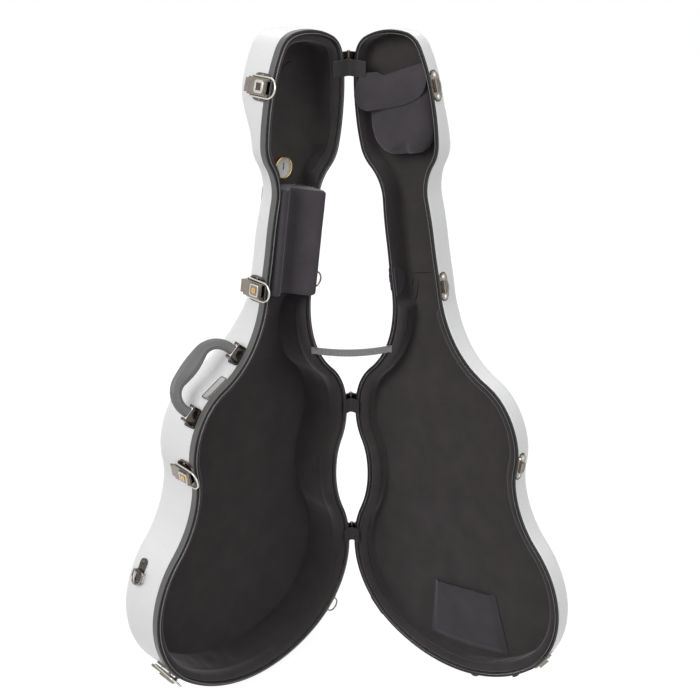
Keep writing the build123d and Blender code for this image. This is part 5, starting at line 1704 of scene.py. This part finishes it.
@dataclass(frozen=True)
class Latches:
    """Small parts on the draw latches: bright frames, lock faces and rivets. Sizes in mm."""

    heights: tuple[float, ...] = LATCH_HEIGHTS
    keyed: tuple[int, ...] = (2, 3)
    block_top: float = 13.7
    block_front: float = 2.6
    block: float = 20.0
    margin: float = 0.6
    keyed_width: float = 1.1
    plain_width: float = 2.2
    frame_height: float = 0.7
    frame_power: float = 9.0
    frame_points: int = 72
    face_under: float = 0.4
    face_points: int = 24
    face_sheet: float = 0.3
    dish: float = 0.25
    rivet_across: float = 16.6
    rivet_depth: float = 20.0
    rivet_lift: float = 2.2
    rivet_half: tuple[float, float, float] = (1.1, 2.1, 2.1)

    def build(self) -> None:
        """Add to each lever its frame and to each base its rivets."""
        for number, height in enumerate(self.heights, start=1):
            place = BODY.wall_frame(height, 0.0)
            self.frame(number, place)
            self.rivets(number, place)

    def frame(self, number: int, place: WallFrame) -> None:
        """A raised bright frame on the lock block, with a dark face inside it on an unkeyed latch."""
        keyed = number in self.keyed
        outer = self.block / 2 - self.margin
        width = self.keyed_width if keyed else self.plain_width
        middle = self.block_front + self.block / 2
        path = oval(outer - width, outer - width, power=self.frame_power, count=self.frame_points)
        path[:, 1] += middle
        piece = ring_piece(f"lock_frame_{number}", place.rows(path, self.block_top), place.z,
                           oval(width * MM, self.frame_height * MM, power=3.0, count=16))
        # The frame takes the lighter copy of the nickel as painted highlight.
        report(piece, f"lever_{number}", "nickel", "painted_highlight_nickel")
        if not keyed:
            span = np.linspace(-1, 1, self.face_points)
            x, y = np.meshgrid(span, span, indexing="xy")
            reach = outer - 2 * width + self.face_under
            dish = self.dish + self.dish * (x**2 + y**2) / 2
            points = np.stack([x * reach, y * reach + middle, self.block_top + dish], -1)
            face = grid_piece(f"lock_face_{number}", place.place(points), closed=False)
            thicken(face, self.face_sheet * MM)
            report(face, f"lever_{number}", "nickel", finish="dark_nickel")

    def rivets(self, number: int, place: WallFrame) -> None:
        """Two domed rivets through the base plate, outside the lever."""
        spots = np.array([[side * self.rivet_across, self.rivet_depth, self.rivet_lift] for side in (-1, 1)])
        centres = place.place(spots)
        outwards, along = [np.broadcast_to(way, centres.shape) for way in (place.z, place.x)]
        half = np.multiply(self.rivet_half, MM)
        piece = many(f"base_rivets_{number}", centres, outwards, along, half, rings=9, sides=20)
        report(piece, "body", "nickel")


@dataclass(frozen=True)
class CatchShadePlate:
    """A thin dark plate under each catch, a little larger than it, so a dark rim shows round the catch: painted
    shade. Sizes in mm.
    """

    heights: tuple[float, ...] = LATCH_HEIGHTS
    depth: float = 10.8
    half_length: float = 22.6
    half_width: float = 10.2
    sheet: float = 0.5
    power: float = 3.2
    edge_points: int = 96
    shares: tuple[float, ...] = (0.0, 0.45, 0.8, 1.0, 1.0, 0.8, 0.45, 0.0)
    lifts: tuple[float, ...] = (1.0, 1.0, 1.0, 0.7, -1.0, -1.0, -1.0, -1.0)

    def build(self) -> None:
        """A thin rounded plate that follows the lid's wall, one for each catch, dark as painted shade."""
        flat = oval(self.half_length, self.half_width, power=self.power, count=self.edge_points)[None]
        flat = flat * np.array(self.shares)[:, None, None]
        lift = np.broadcast_to((np.array(self.lifts) * self.sheet)[:, None], flat.shape[:2])
        for number, height in enumerate(self.heights, start=1):
            points = LID.outline.inside(height + flat[..., 0], -lift, Side.LATCH)
            grid = LID.place(points, self.depth + flat[..., 1])
            piece = grid_piece(f"catch_shade_plate_{number}", grid, wrap_columns=True)
            # The dark nickel here paints the shade round the catch.
            report(piece, "lid", "nickel", "dark_nickel")


@dataclass(frozen=True)
class PlateBorder:
    """The dark raised border of the bare plate below the handle. Sizes in mm."""

    height: float = 538.0
    depth: float = 19.5
    half_length: float = 22.2
    half_width: float = 6.1
    sheet: float = 1.2
    bar_half: tuple[float, float] = (0.75, 0.5)
    power: float = 10.0
    points: int = 140

    def build(self) -> None:
        """Carry a small round bar round the plate's edge."""
        place = BODY.wall_frame(self.height, self.depth)
        path = oval(self.half_length, self.half_width, power=self.power, count=self.points)
        section = oval(*np.multiply(self.bar_half, MM), count=12)
        piece = ring_piece("plate_border", place.rows(path, self.sheet), place.z, section)
        report(piece, "body", "nickel", "dark_nickel")


@dataclass(frozen=True)
class Gauge:
    """Marks on the hygrometer's dial and the beaded rim round its glass. Sizes in mm."""

    across: float = 9.0
    height: float = 869.0
    recess: float = 2.2
    thickness: float = 7.0
    back: float = 35.2
    dial_sheet: float = 0.6
    first: float = 220.0
    last: float = -40.0
    ticks: int = 21
    tick_ring: float = 12.2
    tick_half: tuple[float, float, float] = (1.3, 0.28, 0.06)
    bead_ring: float = 16.1
    bead_half: tuple[float, float] = (0.9, 0.55)
    bead_points: int = 96

    def build(self) -> None:
        """Add the ticks and the bead."""
        front = self.back - self.thickness
        dial = front + self.recess - self.dial_sheet
        centre = np.array([self.across, self.height])
        angle = np.radians(np.linspace(self.first, self.last, self.ticks))
        way = np.stack([np.cos(angle), np.sin(angle)], -1)
        _, across, up, into = BODY.axes()
        places = BODY.place(centre + way * self.tick_ring, np.full(len(way), dial))
        along = way[:, :1] * across + way[:, 1:] * up
        ticks = many("gauge_ticks", places, along, np.cross(along, into), np.multiply(self.tick_half, MM))
        report(ticks, "body", "needle_black")
        round_angle = np.linspace(0.0, 2 * math.pi, self.bead_points, endpoint=False)
        ring = np.stack([np.cos(round_angle), np.sin(round_angle)], -1)
        path = BODY.place(centre + ring * self.bead_ring, np.full(len(ring), front))
        side = ring[:, :1] * across + ring[:, 1:] * up
        section = oval(*np.multiply(self.bead_half, MM), count=14)
        bead = tube_piece("gauge_bezel_bead", path, side, np.broadcast_to(into, side.shape), section,
                          closed_path=True)
        report(bead, "body", "gauge_gold")


class Hardware:
    """The pieces whose shape is kept as built: each gets its finish and softened edges."""

    soften: dict[str, float] = {
        "latch_base": 0.5, "latch_lever": 0.35, "catch_plate": 0.35, "key_barrel": 0.2, "handle_bracket": 0.5,
        "handle_pins": 0.4, "badge_plate": 0.3, "body_ring_plates": 0.25, "lid_ring_plates": 0.25,
        "hinge_leaves": 0.3, "hinge_pins": 0.3, "gauge_case": 0.4, "feet": 0.5, "lid_bumper": 0.4,
    }
    weld_gap: float = 1e-5
    sharp: float = 32.0
    split: float = 35.0
    special: dict[str, str] = {
        # The bails, handle pins and catch screws take the lighter copy of the nickel as painted highlight.
        "ring_plates": "dark_nickel", "hinge_leaves": "dark_nickel", "latch_bail": "painted_highlight_nickel",
        # latch_base takes the darker copy of the nickel as painted shade under the levers.
        "handle_pins": "painted_highlight_nickel", "catch_screws": "painted_highlight_nickel", "latch_base": "painted_shade_nickel",
        "badge_plate": "plate_silver", "handle_bracket": "dark_nickel",
    }

    def build(self) -> None:
        """Dress every CAD node by its own slot."""
        slots = {part["node"]: part["material_slot"] for part in frame["record"]["subparts"]}
        for name, node in frame["nodes"].items():
            finish = next((held for word, held in self.special.items() if word in name), slots[name])
            palette.dress(node, finish)
            width = next((size for word, size in self.soften.items() if word in name), 0.0)
            self.ease(node, width)
            log.info("%s: %s", name, finish)

    @staticmethod
    def ease(node: Piece, width: float) -> None:
        """Join the loose triangles and round the sharp edges of a node in its modifiers.

        Args:
            node: the CAD node.
            width: width of the rounded edge in mm, or 0 to keep the edges.
        """
        node.data.polygons.foreach_set("use_smooth", np.ones(len(node.data.polygons), bool))
        weld = node.modifiers.new("weld", "WELD")
        weld.merge_threshold = Hardware.weld_gap
        if width:
            edge = node.modifiers.new("soft_edges", "BEVEL")
            edge.width = width * MM
            edge.segments = 2
            edge.limit_method = "ANGLE"
            edge.angle_limit = math.radians(Hardware.sharp)
        normals = node.modifiers.new("normals", "WEIGHTED_NORMAL")
        normals.keep_sharp = False
        if not width:
            split = node.modifiers.new("split", "EDGE_SPLIT")
            split.split_angle = math.radians(Hardware.split)


@dataclass(frozen=True)
class Studio:
    """Floor, lamps and camera. Sizes in metres and degrees."""

    camera_place: tuple[float, float, float] = (0.0143, -1.6559, 1.3166)
    pitch: float = 23.5348
    yaw: float = 0.1961
    roll: float = -0.3797
    focal: float = 1167.03
    frame_size: float = 700.0
    sensor: float = 36.0
    floor_half: float = 6.0
    floor_grey: float = 0.22
    floor_roughness: float = 0.9
    floor_glow: float = 0.9
    air_level: float = 0.4
    aim: tuple[float, float, float] = (0.0, 0.0, 0.5)
    lamps: tuple[tuple[str, tuple[float, float, float], float, float], ...] = (
        ("key_lamp", (-2.6, -2.6, 3.0), 2.2, 88.0), ("fill_lamp", (2.8, -2.2, 2.0), 2.4, 32.0),
        ("top_lamp", (0.0, 1.5, 3.4), 2.6, 38.0),
    )

    def build(self) -> None:
        """Set up the view, the floor, the lamps and the world."""
        scene = bpy.context.scene
        scene.view_settings.view_transform = "Standard"
        self.camera(scene)
        self.floor()
        self.world(scene)
        for name, place, size, power in self.lamps:
            self.lamp(name, place, self.aim, size, power)

    def camera(self, scene: bpy.types.Scene) -> None:
        """The photograph's viewpoint, as a place, a pitch down, a yaw and a roll."""
        data = bpy.data.cameras.new("camera")
        data.sensor_width = self.sensor
        data.lens = self.focal * self.sensor / self.frame_size
        camera = bpy.data.objects.new("camera", data)
        turn = (
            Matrix.Rotation(math.radians(self.yaw), 4, "Z")
            @ Matrix.Rotation(math.radians(90.0 - self.pitch), 4, "X")
            @ Matrix.Rotation(math.radians(self.roll), 4, "Z")
        )
        camera.matrix_world = Matrix.Translation(Vector(self.camera_place)) @ turn
        scene.collection.objects.link(camera)
        scene.camera = camera

    def floor(self) -> None:
        """A grey floor that keeps a soft shadow and glows white to the camera."""
        half = self.floor_half
        points = np.array([[-half, -half, 0.0], [half, -half, 0.0], [half, half, 0.0], [-half, half, 0.0]])
        floor = add_piece("studio_floor", points, np.array([[0, 1, 2, 3]]))
        material = bpy.data.materials.new("studio_floor_paint")
        material.use_nodes = True
        tree = material.node_tree
        shader = tree.nodes["Principled BSDF"]
        set_inputs(shader, {
            "Base Color": (*[self.floor_grey] * 3, 1.0), "Roughness": self.floor_roughness,
            "Emission Color": (1.0, 1.0, 1.0, 1.0),
        })
        seen = self.seen_rays(tree)
        strength = tree.nodes.new("ShaderNodeMath")
        strength.operation = "MULTIPLY"
        strength.inputs[1].default_value = self.floor_glow
        tree.links.new(seen, strength.inputs[0])
        tree.links.new(strength.outputs["Value"], shader.inputs["Emission Strength"])
        floor.data.materials.append(material)

    @staticmethod
    def seen_rays(tree: Tree) -> Socket:
        """1 for rays from the camera, a mirror or glass, and 0 for the rest."""
        path = tree.nodes.new("ShaderNodeLightPath")
        total = path.outputs["Is Camera Ray"]
        for name in ("Is Glossy Ray", "Is Transmission Ray"):
            either = tree.nodes.new("ShaderNodeMath")
            either.operation = "MAXIMUM"
            tree.links.new(total, either.inputs[0])
            tree.links.new(path.outputs[name], either.inputs[1])
            total = either.outputs["Value"]
        return total

    def world(self, scene: bpy.types.Scene) -> None:
        """White to the camera, and a soft level of light from all sides."""
        world = bpy.data.worlds.new("studio_air")
        scene.world = world
        world.use_nodes = True
        tree = world.node_tree
        shader = tree.nodes["Background"]
        shader.inputs["Color"].default_value = (1.0, 1.0, 1.0, 1.0)
        level = tree.nodes.new("ShaderNodeMapRange")
        set_inputs(level, {"To Min": self.air_level, "To Max": 1.0})
        tree.links.new(self.seen_rays(tree), level.inputs["Value"])
        tree.links.new(level.outputs["Result"], shader.inputs["Strength"])

    @staticmethod
    def lamp(name: str, place: Sequence[float], target: Sequence[float], size: float, power: float) -> None:
        """A square soft lamp.

        Args:
            name: the lamp's name.
            place: where it hangs.
            target: what it points at.
            size: its side.
            power: its power in watts.
        """
        data = bpy.data.lights.new(name, "AREA")
        data.size = size
        data.energy = power
        lamp = bpy.data.objects.new(name, data)
        turn = (Vector(target) - Vector(place)).to_track_quat("-Z", "Y").to_matrix().to_4x4()
        lamp.matrix_world = Matrix.Translation(Vector(place)) @ turn
        bpy.context.scene.collection.objects.link(lamp)


def main() -> None:
    logging.basicConfig(level=logging.INFO, format="%(name)s %(message)s")
    builders = [
        Studio(),
        Hardware(),
        CaseShell(BODY),
        CaseShell(LID),
        Lining(BODY, pad=10.0, base_pad=5.0, thin_from=671.5, head_radius=30.0),
        Lining(LID, pad=13.2, base_pad=4.0, thin_from=660.0, head_radius=12.0, thin_to=1200.0, inset=5.9),
        NeckCradle(),
        HeadPouch(),
        LidPockets(),
        ClothTies(),
        CarryingHandle(),
        Latches(),
        CatchShadePlate(),
        PlateBorder(),
        Gauge(),
    ]
    for builder in builders:
        builder.build()
        log.info("%s done", type(builder).__name__)


if __name__ == "__main__":
    main()
